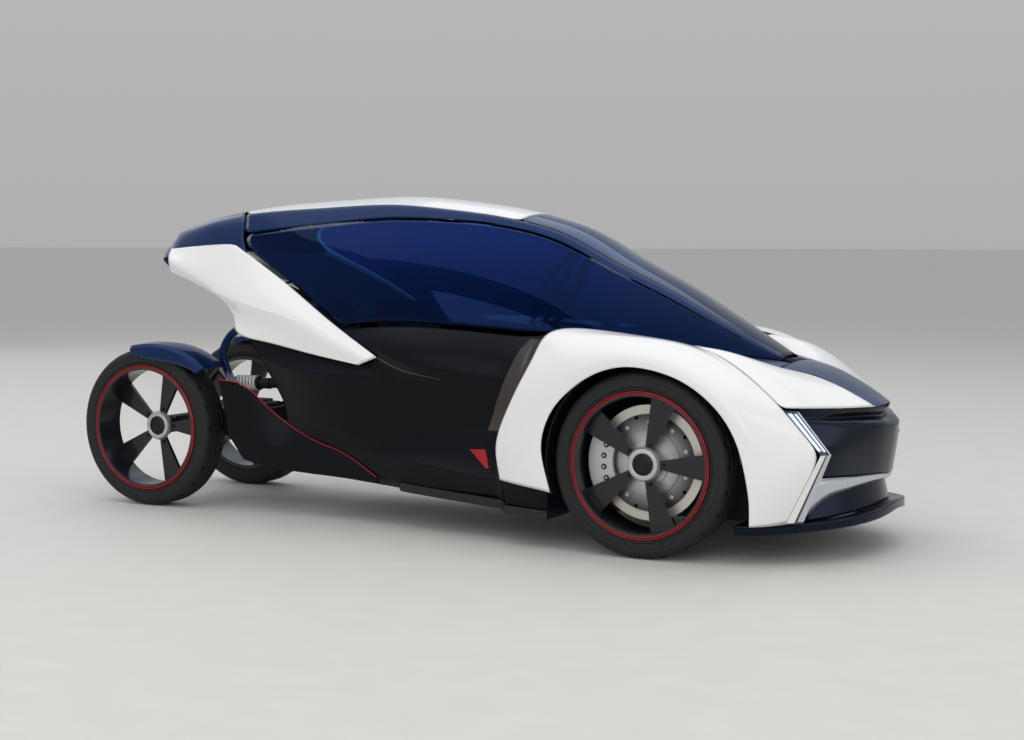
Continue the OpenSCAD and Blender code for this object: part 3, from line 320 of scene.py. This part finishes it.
# Body sides
# Each lower body side is one large moulding with a deep door crease and a sill line, in satin black.
# Its duct, lip, return behind the wing and red marker are thin plates let into the face; the duct plate is
# painted shade, and the lip and return plates are a painted highlight.
# Satin lacquer: almost no shine, so that only the creases catch the light
satin_black = finish(
    "satin_black_lacquer", "ShaderNodeTexNoise", 1.4, [(0.3, "#060607"), (0.75, "#0e0d0e")], (0.3, 0.4),
    bump=0.02, Coat_Weight=0.05, Coat_Roughness=0.2, Specular_IOR_Level=0.2, Specular_Tint=linear("#b9c0d4"))
side_skin = smooth_panel("body_sides", satin_black)
smooth_panel("rear_fairings", satin_black)
eased("rear_bulkhead", 1.5, satin_black)

PLATE_ROOT = 1.5
PLATE_CELLS = (12, 6)


def laid_on(name, skin, upper, lower, proud, material):
    """A thin plate let into a smoothed skin on both sides, between two rows of (x, z); proud is in mm."""
    tree = BVHTree.FromObject(skin, bpy.context.evaluated_depsgraph_get())
    form = bmesh.new()
    steps = len(upper) - 1
    for side in (-1, 1):
        sheet = bmesh.ops.create_grid(
            form, x_segments=PLATE_CELLS[0] * steps, y_segments=PLATE_CELLS[1], size=1.0)["verts"]
        for vert in sheet:
            along = (vert.co.x + 1) / 2 * steps
            k = min(int(along), steps - 1)
            ends = [Vector(row[k]).lerp(Vector(row[k + 1]), along - k) / 1000 for row in (upper, lower)]
            spot = ends[0].lerp(ends[1], (vert.co.y + 1) / 2)
            hit = tree.ray_cast(Vector((spot.x, side, spot.y)), Vector((0, -side, 0)))[0]
            vert.co = hit + Vector((0, side * proud / 1000, 0))
        faces = list({face for vert in sheet for face in vert.link_faces})
        back = bmesh.ops.extrude_face_region(form, geom=faces)["geom"]
        for vert in [g for g in back if isinstance(g, bmesh.types.BMVert)]:
            vert.co.y -= side * (proud + PLATE_ROOT) / 1000
    return keep(name, form, "chassis", material, sharp=40)


# Painted shade: a matt black plate with no shine at all stands for the dark inside of the open duct
painted_duct_shade = finish(
    "painted_duct_shade", "ShaderNodeTexNoise", 2.0, [(0.3, "#030303"), (0.7, "#070708")], (0.8, 0.95), bump=0.05)
DUCT_TOP = [(-166, 618), (-110, 599), (-62, 583), (-14, 564)]
DUCT_FOOT = [(-182, 603), (-128, 581), (-67, 562), (-4, 551)]
laid_on("door_duct_shade_plates", side_skin, DUCT_TOP, DUCT_FOOT, 1.0, painted_duct_shade)
# Painted highlight: the satin black made a little browner and paler, for the light caught along the duct's
# lower lip and the return behind the wing
painted_highlight_satin = finish(
    "bronze_satin_lacquer", "ShaderNodeTexNoise", 2.0, [(0.3, "#2b2320"), (0.7, "#3a2f29")], (0.3, 0.42),
    bump=0.02, Coat_Weight=0.2)
LIP_TOP = [(-182, 603), (-128, 581), (-67, 562), (-4, 551), (80, 538)]
LIP_FOOT = [(-184, 598), (-129, 576), (-67, 557), (-4, 547), (80, 536)]
laid_on("duct_lip_highlights", side_skin, LIP_TOP, LIP_FOOT, 1.6, painted_highlight_satin)
RETURN_BACK = [(412, 684), (378, 646), (337, 546), (285, 456), (256, 369)]
RETURN_FRONT = [(508, 684), (488, 642), (433, 541), (388, 448), (356, 366)]
laid_on("wing_return_highlights", side_skin, RETURN_BACK, RETURN_FRONT, 2.4, painted_highlight_satin)
# Signal red enamel, thick enough to be slightly uneven
red_enamel = finish(
    "red_enamel", "ShaderNodeTexNoise", 6.0, [(0.3, "#8f0c14"), (0.7, "#a80f17")], (0.28, 0.4),
    bump=0.02, Coat_Weight=0.1, Specular_IOR_Level=0.3)
MARKER_TOP = [(192, 302), (254, 305)]
MARKER_FOOT = [(272, 246), (284, 246)]
laid_on("sill_markers", side_skin, MARKER_TOP, MARKER_FOOT, 1.2, red_enamel)

# Canopy glass
# Windscreen and side panes are thin blue solar glass; a metal film gives the blue reflection.
# The base colour is darkest along the base and turns lighter and bluer upward, a painted reflection of the
# sky on the upper panes.
glass, glass_tree, glass_shader = new_material(
    "blue_solar_glass", Roughness=0.0, IOR=1.5, Transmission_Weight=1.0, Specular_IOR_Level=0.6,
    Specular_Tint=linear("#5088ee"))
glass_coords = add_node(glass_tree, "ShaderNodeTexCoord")
glass_parts = add_node(glass_tree, "ShaderNodeSeparateXYZ", {"Vector": glass_coords.outputs["Object"]})
# Painted reflection: the glass colour is lighter and bluer the higher it stands
glass_reflection_height = add_node(
    glass_tree, "ShaderNodeMapRange", {"Value": glass_parts.outputs["Z"]}, From_Min=0.69, From_Max=1.05)
glass_painted_reflection_ramp = add_node(glass_tree, "ShaderNodeValToRGB", {"Fac": glass_reflection_height.outputs["Result"]})
ramp_colours(glass_painted_reflection_ramp, [(0.0, "#0c182e"), (0.14, "#183462"), (1.0, "#2c62ae")])
glass_tree.links.new(glass_painted_reflection_ramp.outputs["Color"], glass_shader.inputs["Base Color"])
glass_wave = add_node(
    glass_tree, "ShaderNodeTexNoise", {"Vector": glass_coords.outputs["Object"]}, Scale=14.0, Detail=0.0)
glass_relief = add_node(
    glass_tree, "ShaderNodeBump", {"Height": glass_wave.outputs["Fac"]}, Distance=0.0002, Strength=0.3)
glass_tree.links.new(glass_relief.outputs["Normal"], glass_shader.inputs["Normal"])
for node in ("windscreen", "side_glass"):
    smooth_panel(node, glass)

# Nose
# A black moulding hangs under the hood's edge, with a bar and a flat panel; a bright strip runs below it.
# Under that a lower panel stands on the splitter, a flat lip close to the ground.
# Gloss moulding: black plastic with a faint blue reflection
gloss_black = finish(
    "gloss_black_moulding", "ShaderNodeTexNoise", 1.6, [(0.3, "#050507"), (0.7, "#0b0c12")], (0.2, 0.3),
    bump=0.01, Coat_Weight=0.1, Coat_Roughness=0.1, Specular_IOR_Level=0.3, Specular_Tint=linear("#8fb0ec"))
for node in ("nose_grille", "nose_lower"):
    smooth_panel(node, gloss_black)
smooth_panel("splitter", gloss_black)
# Brushed aluminium: long fine scratches along the strip
aluminium = finish(
    "brushed_aluminium", "ShaderNodeTexNoise", 1.0, [(0.3, "#b9bdc4"), (0.7, "#d6d9de")], (0.3, 0.42),
    bump=0.01, stretch=(1.0, 0.03, 1.0), Metallic=0.75)
smooth_panel("nose_trim", aluminium)

# Lamps
# Each lamp is a chevron let into the front of a wing: a dark lens with two light guides in the upper branch.
# A bright edge runs round its inner side; the lower branch is a white leg with a slot beside it.
# Smoked lens: fine upright ribs under a clear face
lens_dark = finish(
    "smoked_lens", "ShaderNodeTexWave", 5.0, [(0.2, "#141a2a"), (0.8, "#27314a")], (0.08, 0.16),
    bump=0.15, Coat_Weight=1.0)
nodes["light_blades"].data.materials.clear()
nodes["light_blades"].data.materials.append(lens_dark)
LAMP_OUTER = [Vector(p) / 1000 for p in ((1314, 451, 486), (1429, 438, 352), (1324, 452, 133))]
LAMP_INNER = [Vector(p) / 1000 for p in ((1351, 424, 485), (1451, 402, 352), (1369, 420, 135))]
LAMP_OUT = Vector((0.588, 0.809, 0))
STRIP_THICK = 1.2


def lamp_strip(name, shares, span, lift, material):
    """A strip on both lamps between two shares of their width; a span runs 0 top, 1 corner, 2 foot."""
    form = bmesh.new()
    for side in (-1, 1):
        for vert in bmesh.ops.create_grid(form, x_segments=16, y_segments=2, size=1.0)["verts"]:
            along = span[0] + (span[1] - span[0]) * (vert.co.x + 1) / 2
            k = min(int(along), 1)
            outer = LAMP_OUTER[k].lerp(LAMP_OUTER[k + 1], along - k)
            inner = LAMP_INNER[k].lerp(LAMP_INNER[k + 1], along - k)
            share = shares[0] + (shares[1] - shares[0]) * (vert.co.y + 1) / 2
            spot = outer.lerp(inner, share) + LAMP_OUT * lift / 1000
            vert.co = Vector((spot.x, side * spot.y, spot.z))
    bmesh.ops.solidify(form, geom=form.faces, thickness=STRIP_THICK / 1000)
    return keep(name, form, "chassis", material, sharp=40)


# Light guide: milky rod with fine flutes that glow softly
guide = finish(
    "light_guide", "ShaderNodeTexWave", 3.0, [(0.2, "#c4d2ea"), (0.8, "#eef3fb")], (0.2, 0.3), bump=0.1,
    Emission_Color=linear("#dfe9fb"), Emission_Strength=0.25)
lamp_strip("light_guides_outer", (0.12, 0.42), (0.05, 0.9), 1.0, guide)
lamp_strip("light_guides_inner", (0.56, 0.76), (0.06, 0.92), 1.0, guide)
lamp_strip("lamp_edges_upper", (0.88, 1.0), (0.02, 1.0), 1.6, aluminium)
lamp_strip("lamp_edges_lower", (0.62, 1.0), (1.0, 1.97), 1.6, aluminium)
lamp_strip("lamp_legs", (0.0, 0.46), (1.0, 1.98), 1.6, pearl_white)


# Wheels
# Each wheel is a pressed rim with five wedge spokes, a wide low tyre and two red lines at the rim's lip.
# In front a brake disc sits behind the spokes, with a four-bolt caliper behind the axle.
HEAD_TAPER = 0.9
HEAD_EDGE = 0.8


def turned(name, outline, centre, side, body, material, stands_for=(), steps=96, tread=None):
    """A piece turned about an axle from a closed outline of (radius, distance off centre) in mm."""
    form = bmesh.new()
    ring = [form.verts.new((centre[0] + r / 1000, side * y / 1000, centre[1])) for r, y in outline]
    edges = [form.edges.new((a, b)) for a, b in zip(ring, ring[1:] + ring[:1])]
    bmesh.ops.spin(
        form, geom=ring + edges, cent=(centre[0], 0, centre[1]), axis=(0, 1, 0), angle=2 * math.pi,
        steps=steps, use_merge=True)
    if tread:
        tread(form)
    return keep(name, form, body, material, stands_for, sharp=35)


def studs(name, spots, radius, y_from, y_to, side, body, material, segments=6):
    """Bolt heads or bosses that stand on a face square to the axle; spots are (x, z) in mm."""
    form = bmesh.new()
    depth = abs(y_to - y_from) / 1000
    for x, z in spots:
        place = Matrix.Translation((x / 1000, side * (y_from + y_to) / 2000, z / 1000))
        lie = Matrix.Rotation(math.radians(-90 * side), 4, "X")
        bmesh.ops.create_cone(
            form, cap_ends=True, segments=segments, radius1=radius / 1000, radius2=HEAD_TAPER * radius / 1000,
            depth=depth, matrix=place @ lie)
    bmesh.ops.bevel(
        form, geom=form.edges[:], offset=HEAD_EDGE / 1000, affect="EDGES", segments=2, profile=0.5,
        material=-1)
    return keep(name, form, body, material, sharp=35)


def ring_spots(centre, radius, count, start=0.0):
    """Places round a circle, in mm."""
    turns = [start + 2 * math.pi * k / count for k in range(count)]
    x, z = centre[0] * 1000, centre[1] * 1000
    return [(x + radius * math.cos(a), z + radius * math.sin(a)) for a in turns]


# Tyre rubber: fine mould grain, slightly dusty
rubber = finish(
    "tyre_rubber", "ShaderNodeTexNoise", 4.0, [(0.25, "#08080a"), (0.75, "#131315")], (0.6, 0.78), bump=0.12)
# Anthracite rim: metallic grit under a satin coat
anthracite = finish(
    "anthracite_lacquer", "ShaderNodeTexVoronoi", 0.8, [(0.1, "#24262c"), (0.8, "#121318")], (0.3, 0.42),
    bump=0.01, Metallic=0.55, Coat_Weight=0.4, Coat_Roughness=0.12)
# Cast alloy of the calipers and hub rings: fine sand grain
cast_alloy = finish(
    "cast_alloy", "ShaderNodeTexNoise", 1.8, [(0.3, "#a9abae"), (0.7, "#cfd1d3")], (0.34, 0.5), bump=0.12,
    Metallic=0.6)
# Bolt steel: blackened, with a dull metallic sheen
dark_bolt = finish(
    "blackened_bolt_steel", "ShaderNodeTexNoise", 1.5, [(0.3, "#1a1a1c"), (0.7, "#2f3033")], (0.35, 0.5),
    bump=0.03, Metallic=0.7)

# Disc steel: a painted highlight, bright at the hub and darker outward, then a pale swept ring of its own
# colour, and fine turning marks
AXLE_FRONT = (0.869, 0.300)
AXLE_REAR = (-1.251, 0.300)
disc_steel, disc_tree, disc_shader = new_material("turned_disc_steel", Metallic=0.6)
disc_coords = add_node(disc_tree, "ShaderNodeTexCoord")
disc_place = add_node(
    disc_tree, "ShaderNodeMapping", {"Vector": disc_coords.outputs["Object"]},
    Location=(-AXLE_FRONT[0], 0, -AXLE_FRONT[1]), Scale=(1, 0, 1))
disc_radius = add_node(
    disc_tree, "ShaderNodeVectorMath", {"Vector": disc_place.outputs["Vector"]}, operation="LENGTH")
disc_share = add_node(
    disc_tree, "ShaderNodeMapRange", {"Value": disc_radius.outputs["Value"]}, From_Min=0.0, From_Max=0.2)
# Painted highlight from the hub outward; the pale outer band is the friction ring's own colour
disc_highlight_and_ring_ramp = add_node(disc_tree, "ShaderNodeValToRGB", {"Fac": disc_share.outputs["Result"]})
ramp_colours(disc_highlight_and_ring_ramp, [
    (0.2, "#e6e7e8"), (0.42, "#b9babc"), (0.62, "#77787b"),
    (0.78, "#3a3a3d"), (0.8, "#cfc9bd"), (1.0, "#ddd8cd")])
disc_tree.links.new(disc_highlight_and_ring_ramp.outputs["Color"], disc_shader.inputs["Base Color"])
disc_marks = add_node(
    disc_tree, "ShaderNodeTexNoise", {"W": disc_radius.outputs["Value"]}, noise_dimensions="1D", Scale=900.0)
disc_rough = add_node(
    disc_tree, "ShaderNodeMapRange", {"Value": disc_marks.outputs["Fac"]}, To_Min=0.26, To_Max=0.46)
disc_tree.links.new(disc_rough.outputs["Result"], disc_shader.inputs["Roughness"])
disc_relief = add_node(
    disc_tree, "ShaderNodeBump", {"Height": disc_marks.outputs["Fac"]}, Distance=0.00008, Strength=0.5)
disc_tree.links.new(disc_relief.outputs["Normal"], disc_shader.inputs["Normal"])

TYRE_R = 300
BEAD_R = 236.4
TYRE_STEPS = 120
POCKET_EVERY = 5
POCKET_DEPTH = 5
POCKET_REACH = 14
POCKET_SPAN = (37, 12)


def tyre_outline(middle, width):
    """Half-round shoulders, a stepped sidewall and three grooves, as (radius, distance) pairs."""
    half = width / 2
    wall = [(BEAD_R, half - 14), (BEAD_R + 4, half - 5), (BEAD_R + 10, half - 3), (BEAD_R + 12, half - 4.5),
            (BEAD_R + 16, half - 1), (BEAD_R + 26, half), (BEAD_R + 34, half - 1.5),
            (BEAD_R + 36, half - 0.5)]
    shoulder = [(TYRE_R - 27 + 26 * math.sin(a), half - 26 + 25.5 * math.cos(a))
                for a in [math.radians(d) for d in (8, 24, 40, 56, 72)]]
    crown = [(TYRE_R - 0.6, half - 26), (TYRE_R - 0.4, half - 36)]
    groove = [(TYRE_R - 6, half - 37.5), (TYRE_R - 6, half - 42.5), (TYRE_R - 0.2, half - 44)]
    middle_groove = [(TYRE_R, 5), (TYRE_R - 6, 4)]
    one = wall + shoulder + crown + groove + middle_groove
    return [(r, middle + d) for r, d in one] + [(r, middle - d) for r, d in reversed(one)]


def cut_tread(middle, width):
    """Cuts pockets into the shoulder ribs at every few steps of the turn."""
    def cut(form):
        low, high = [(width / 2 - inset) / 1000 for inset in POCKET_SPAN]
        chosen = []
        for face in form.faces:
            spot = face.calc_center_median()
            off = abs(abs(spot.y) - middle / 1000)
            axle = AXLE_FRONT if spot.x > 0 else AXLE_REAR
            away = Vector((spot.x - axle[0], spot.z - axle[1]))
            step = int((math.atan2(away.y, away.x) / (2 * math.pi) + 1) * TYRE_STEPS + 0.01)
            outside = away.length > (TYRE_R - POCKET_REACH) / 1000
            if outside and low < off < high and step % POCKET_EVERY == 0:
                chosen.append(face)
        dug = bmesh.ops.extrude_face_region(form, geom=chosen)["geom"]
        for vert in [g for g in dug if isinstance(g, bmesh.types.BMVert)]:
            axle = AXLE_FRONT if vert.co.x > 0 else AXLE_REAR
            away = Vector((vert.co.x - axle[0], 0, vert.co.z - axle[1]))
            vert.co -= away.normalized() * POCKET_DEPTH / 1000
        bmesh.ops.delete(form, geom=chosen, context="FACES_ONLY")
    return cut


# Corner, side, axle and body, then the tyre's middle, its width and the hub's outer face in mm
WHEELS = (
    ("fl", 1, AXLE_FRONT, "wheel_front_left", 475, 150, 511),
    ("fr", -1, AXLE_FRONT, "wheel_front_right", 475, 150, 511),
    ("rl", 1, AXLE_REAR, "wheel_rear_left", 320, 128, 302),
    ("rr", -1, AXLE_REAR, "wheel_rear_right", 320, 128, 302),
)
BORE_R = 21
BORE_EASE = 0.4
for corner, side, axle, body, middle, width, hub in WHEELS:
    turned("tyre_" + corner + "_road", tyre_outline(middle, width), axle, side, body, rubber,
           ("tyre_" + corner,), steps=TYRE_STEPS, tread=cut_tread(middle, width))
    rim = eased("rim_" + corner, 2.0, anthracite)
    # The bore is opened a little, so that its facets clear those of the axle at every turn
    for vert in rim.data.vertices:
        away = Vector((vert.co.x - axle[0], 0, vert.co.z - axle[1]))
        if away.length < BORE_R / 1000:
            vert.co += away.normalized() * BORE_EASE / 1000
    lip = middle + width / 2 - 3
    for tag, low, high in (("outer", 233.5, 237.5), ("inner", 226.5, 229.5)):
        crown = ((low + high) / 2, lip + 1.6)
        turned("red_line_" + tag + "_" + corner,
               [(low, lip - 3), (low, lip + 0.6), crown, (high, lip + 0.6), (high, lip - 3)],
               axle, side, body, red_enamel)
    turned("hub_ring_" + corner,
           [(36, hub - 4), (36, hub + 3), (40, hub + 5), (50, hub + 3), (56, hub - 6), (56, hub - 10)],
           axle, side, body, cast_alloy)
    turned("hub_cap_" + corner,
           [(0.5, hub - 3), (0.5, hub + 7), (9, hub + 7), (11, hub + 5), (20, hub + 5), (22, hub + 7),
            (30, hub + 5), (35, hub + 1), (35, hub - 3)],
           axle, side, body, dark_bolt)
    studs("wheel_bolts_" + corner, ring_spots(axle, 66, 5), 7, hub - 9.5, hub - 2, side, body,
          dark_bolt)

CALIPER_R = 150
for corner, side, letter in (("fl", 1, "l"), ("fr", -1, "r")):
    wheel = body_of["disc_" + corner]
    eased("disc_" + corner, 1.0, disc_steel)
    bobbins = ring_spots(AXLE_FRONT, 132, 10, math.radians(18))
    studs("disc_bobbins_" + corner, bobbins, 8, 457, 461, side, wheel, cast_alloy, segments=20)
    knuckle = body_of["caliper_" + letter]
    eased("caliper_" + letter, 5.0, cast_alloy)
    turns = [math.radians(180 + d) for d in (-21, -7, 7, 21)]
    axle_x, axle_z = AXLE_FRONT[0] * 1000, AXLE_FRONT[1] * 1000
    spots = [(axle_x + CALIPER_R * math.cos(a), axle_z + CALIPER_R * math.sin(a)) for a in turns]
    studs("caliper_bolts_" + letter, spots, 10, 481, 485, side, knuckle, dark_bolt,
          segments=20)
    studs("caliper_screws_" + letter, spots, 5, 484, 487, side, knuckle, cast_alloy)

# Rear end
# A cast trailing arm carries the motor and both rear wheels; two coil-over units lie above it.
# The curved bars and fairings beside them are made with the body panels above.
# Powder coat: a fine orange peel, half matt
chassis_black = finish(
    "powder_coat_black", "ShaderNodeTexVoronoi", 1.6, [(0.1, "#17171a"), (0.8, "#0c0c0e")], (0.45, 0.62),
    bump=0.06)
eased("swingarm", 3.0, chassis_black)
# Sand-cast housing: grey metal with an open grain
motor_case = finish(
    "cast_motor_case", "ShaderNodeTexNoise", 2.4, [(0.3, "#55575c"), (0.7, "#72747a")], (0.42, 0.58),
    bump=0.15, Metallic=0.7)
eased("drive_motor", 8.0, motor_case)
motor_low, motor_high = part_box("drive_motor")
FIN_COUNT = 9
FIN_SIZE = (0.16, 0.006, 0.016, 1)
FIN_LIFT = 0.004
FIN_INSET = 0.02
fins = bmesh.new()
for k in range(FIN_COUNT):
    share = (k + 0.5) / FIN_COUNT
    fin_y = motor_low[1] + FIN_INSET + share * (motor_high[1] - motor_low[1] - 2 * FIN_INSET)
    fin_x = (motor_low[0] + motor_high[0]) / 2
    fin = Matrix.Translation((fin_x, fin_y, motor_high[2] + FIN_LIFT)) @ Matrix.Diagonal(FIN_SIZE)
    bmesh.ops.create_cube(fins, size=1.0, matrix=fin)
bmesh.ops.bevel(
    fins, geom=fins.edges[:], offset=0.0015, affect="EDGES", segments=2, profile=0.5, material=-1)
keep("motor_fins", fins, body_of["drive_motor"], motor_case, sharp=35)

# Damper: a white enamelled spring between two cups, then a black gas tube
spring_white = finish(
    "spring_enamel", "ShaderNodeTexNoise", 2.0, [(0.3, "#d2d3d4"), (0.7, "#e6e6e6")], (0.35, 0.48), bump=0.03)
DAMPER_X = -946.7
DAMPER_Y = 190
DAMPER_Z = 472
SPRING_TURNS = 6
SPRING_LENGTH = 0.088
TURN_STEPS = 24
springs = bmesh.new()
tubes = bmesh.new()
for side in (-1, 1):
    wire = bmesh.ops.create_circle(
        springs, segments=10, radius=0.0055,
        matrix=Matrix.Translation(((DAMPER_X + 8) / 1000, side * DAMPER_Y / 1000, (DAMPER_Z + 23) / 1000))
        @ Matrix.Rotation(math.radians(90), 4, "X"))["verts"]
    loop = list({e for v in wire for e in v.link_edges})
    bmesh.ops.spin(
        springs, geom=wire + loop, cent=(0, side * DAMPER_Y / 1000, DAMPER_Z / 1000), axis=(1, 0, 0),
        dvec=(SPRING_LENGTH / (SPRING_TURNS * TURN_STEPS), 0, 0), angle=2 * math.pi * SPRING_TURNS,
        steps=SPRING_TURNS * TURN_STEPS)
    outline = [(0, 0), (0, 27), (5, 27), (6, 14), (94, 14), (96, 27), (103, 27), (106, 21), (150, 21),
               (152, 17), (188, 17), (190, 13), (190, 0)]
    places = [Vector((DAMPER_X + x, side * DAMPER_Y, DAMPER_Z + r)) / 1000 for x, r in outline]
    rod = [tubes.verts.new(place) for place in places]
    rod_edges = [tubes.edges.new((a, b)) for a, b in zip(rod, rod[1:])]
    bmesh.ops.spin(
        tubes, geom=rod + rod_edges, cent=(0, side * DAMPER_Y / 1000, DAMPER_Z / 1000), axis=(1, 0, 0),
        angle=2 * math.pi, steps=40, use_merge=True)
bmesh.ops.remove_doubles(tubes, verts=tubes.verts, dist=MERGE)
keep("damper_springs", springs, "chassis", spring_white, sharp=50)
keep("damper_tubes", tubes, "chassis", dark_bolt, ("dampers",), sharp=35)

# Red line along the top edge of each fairing
RED_LINE = [(-911, 361, 495), (-805, 353, 477), (-705, 341, 399), (-629, 328, 343),
            (-515, 342, 293), (-359, 354, 246), (-215, 370, 173)]
line_data = bpy.data.curves.new("fairing_red_lines", "CURVE")
line_data.dimensions = "3D"
line_data.bevel_depth = 0.002
line_data.bevel_resolution = 3
line_data.resolution_u = 10
for side in (-1, 1):
    spline = line_data.splines.new("BEZIER")
    spline.bezier_points.add(len(RED_LINE) - 1)
    for point, (x, y, z) in zip(spline.bezier_points, RED_LINE):
        point.co = (x / 1000, side * y / 1000, z / 1000)
        point.handle_left_type = "AUTO"
        point.handle_right_type = "AUTO"
red_lines = bpy.data.objects.new("fairing_red_lines", line_data)
scene.collection.objects.link(red_lines)
line_data.materials.append(red_enamel)
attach(red_lines, "chassis")

# Structure
# Floor, foot tunnel, wheel-house liners, arms and hinge are steel and moulded board, powder coated black.
# The knuckles that carry the front wheels are bare forgings.
BLACK_PARTS = (
    ("floor_pan", 2.0), ("foot_tunnel", 2.0), ("wheel_liners", 1.0), ("front_arms", 2.0),
    ("canopy_hinge", 1.0))
for node, width in BLACK_PARTS:
    eased(node, width, chassis_black)
# Forged steel: dull scale with a slow mottle
knuckle_steel = finish(
    "forged_steel", "ShaderNodeTexNoise", 3.0, [(0.3, "#4d4e52"), (0.7, "#66676b")], (0.4, 0.56), bump=0.1,
    Metallic=0.8)
for node in ("knuckle_l", "knuckle_r"):
    eased(node, 1.5, knuckle_steel)

# Cabin
# Two slim bucket seats in tandem, a low dashboard with a dark screen, and a three-spoke wheel.
# The plastic has a fine leather grain; the battery box under the rear seat is cast like the motor's case.
grained = finish(
    "grained_cabin_plastic", "ShaderNodeTexVoronoi", 2.2, [(0.1, "#2a2b2f"), (0.8, "#1a1b1e")], (0.5, 0.65),
    bump=0.12)
eased("dashboard", 8.0, grained)
# The screen is a dark pane in a raised rim, on the sloping face towards the driver
SCREEN_SIZE = (0.044, 0.26, 1, 1)
SCREEN_PLACE = (0.5468, 0, 0.6782)
SCREEN_TILT = math.radians(-35.5)
SCREEN_RIM = 0.004
screen = bmesh.new()
bmesh.ops.create_grid(screen, x_segments=6, y_segments=12, size=0.5, matrix=Matrix.Diagonal(SCREEN_SIZE))
bmesh.ops.inset_region(screen, faces=screen.faces[:], thickness=SCREEN_RIM, depth=-0.0015)
bmesh.ops.solidify(screen, geom=screen.faces[:], thickness=SCREEN_RIM)
bmesh.ops.transform(
    screen, verts=screen.verts,
    matrix=Matrix.Translation(SCREEN_PLACE) @ Matrix.Rotation(SCREEN_TILT, 4, "Y"))
keep("dash_screen", screen, "chassis", gloss_black, sharp=30)
eased("steering_wheel", 2.0, grained)
eased("battery_block", 4.0, motor_case)

# Cloth: a coarse two-thread weave about two millimetres across
weave, weave_tree, weave_shader = new_material("seat_weave", Sheen_Weight=0.3)
weave_coords = add_node(weave_tree, "ShaderNodeTexCoord")
threads = []
for direction in ("X", "Y"):
    threads.append(add_node(
        weave_tree, "ShaderNodeTexWave", {"Vector": weave_coords.outputs["Object"]},
        bands_direction=direction, Scale=160.0, Distortion=1.5))
crossed = add_node(
    weave_tree, "ShaderNodeMath", {0: threads[0].outputs["Fac"], 1: threads[1].outputs["Fac"]},
    operation="MULTIPLY")
weave_ramp = add_node(weave_tree, "ShaderNodeValToRGB", {"Fac": crossed.outputs["Value"]})
ramp_colours(weave_ramp, [(0.0, "#2b2c31"), (1.0, "#53555c")])
weave_tree.links.new(weave_ramp.outputs["Color"], weave_shader.inputs["Base Color"])
weave_rough = add_node(
    weave_tree, "ShaderNodeMapRange", {"Value": crossed.outputs["Value"]}, To_Min=0.95, To_Max=0.8)
weave_tree.links.new(weave_rough.outputs["Result"], weave_shader.inputs["Roughness"])
weave_relief = add_node(
    weave_tree, "ShaderNodeBump", {"Height": crossed.outputs["Value"]}, Distance=0.0006, Strength=0.7)
weave_tree.links.new(weave_relief.outputs["Normal"], weave_shader.inputs["Normal"])

SHRINK_MM = 9
SWELL_MM = 14
VOXEL_MM = 8
PRESSURE = 4
FRAMES = 20
CHANNEL_MM = 70
CHANNEL_DEPTH = 0.004
CHANNEL_HALF = 0.12


def bake(piece):
    """Applies a piece's modifiers to its mesh."""
    graph = bpy.context.evaluated_depsgraph_get()
    done = bpy.data.meshes.new_from_object(piece.evaluated_get(graph))
    piece.modifiers.clear()
    piece.data = done


def stuffed_seat(node):
    """A seat swollen from a slightly smaller copy of its solid by cloth under pressure, then quilted."""
    form = node_form(node)
    form.normal_update()
    for vert in form.verts:
        vert.co -= vert.normal * SHRINK_MM / 1000
    piece = keep(node + "_pad", form, "chassis", weave, (node,))
    lump = piece.modifiers.new("lump", "REMESH")
    lump.mode = "VOXEL"
    lump.voxel_size = VOXEL_MM / 1000
    bake(piece)
    start = [v.co.copy() for v in piece.data.vertices]
    cloth = piece.modifiers.new("cloth", "CLOTH")
    cloth.settings.use_pressure = True
    cloth.settings.uniform_pressure_force = PRESSURE
    cloth.settings.effector_weights.gravity = 0
    cloth.point_cache.frame_end = FRAMES
    for step in range(1, FRAMES + 1):
        scene.frame_set(step)
    bake(piece)
    scene.frame_set(1)
    middle = (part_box(node)[0][1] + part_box(node)[1][1]) / 2
    for vert, home in zip(piece.data.vertices, start):
        move = vert.co - home
        if move.length > SWELL_MM / 1000:
            vert.co = home + move.normalized() * SWELL_MM / 1000
        along = math.hypot(vert.co.x, vert.co.z) if vert.normal.z < 0.8 else vert.co.x
        groove = max(0.0, math.cos(2 * math.pi * along / (CHANNEL_MM / 1000)) - 0.9) / 0.1
        inner = abs(vert.co.y - middle) < CHANNEL_HALF
        if inner and (vert.normal.x > 0.3 or vert.normal.z > 0.5):
            vert.co -= vert.normal * CHANNEL_DEPTH * groove
    round_off = piece.modifiers.new("surface", "SUBSURF")
    round_off.levels = 1
    round_off.render_levels = 1
    for polygon in piece.data.polygons:
        polygon.use_smooth = True
    return piece


for node in ("seat_front", "seat_rear"):
    stuffed_seat(node)
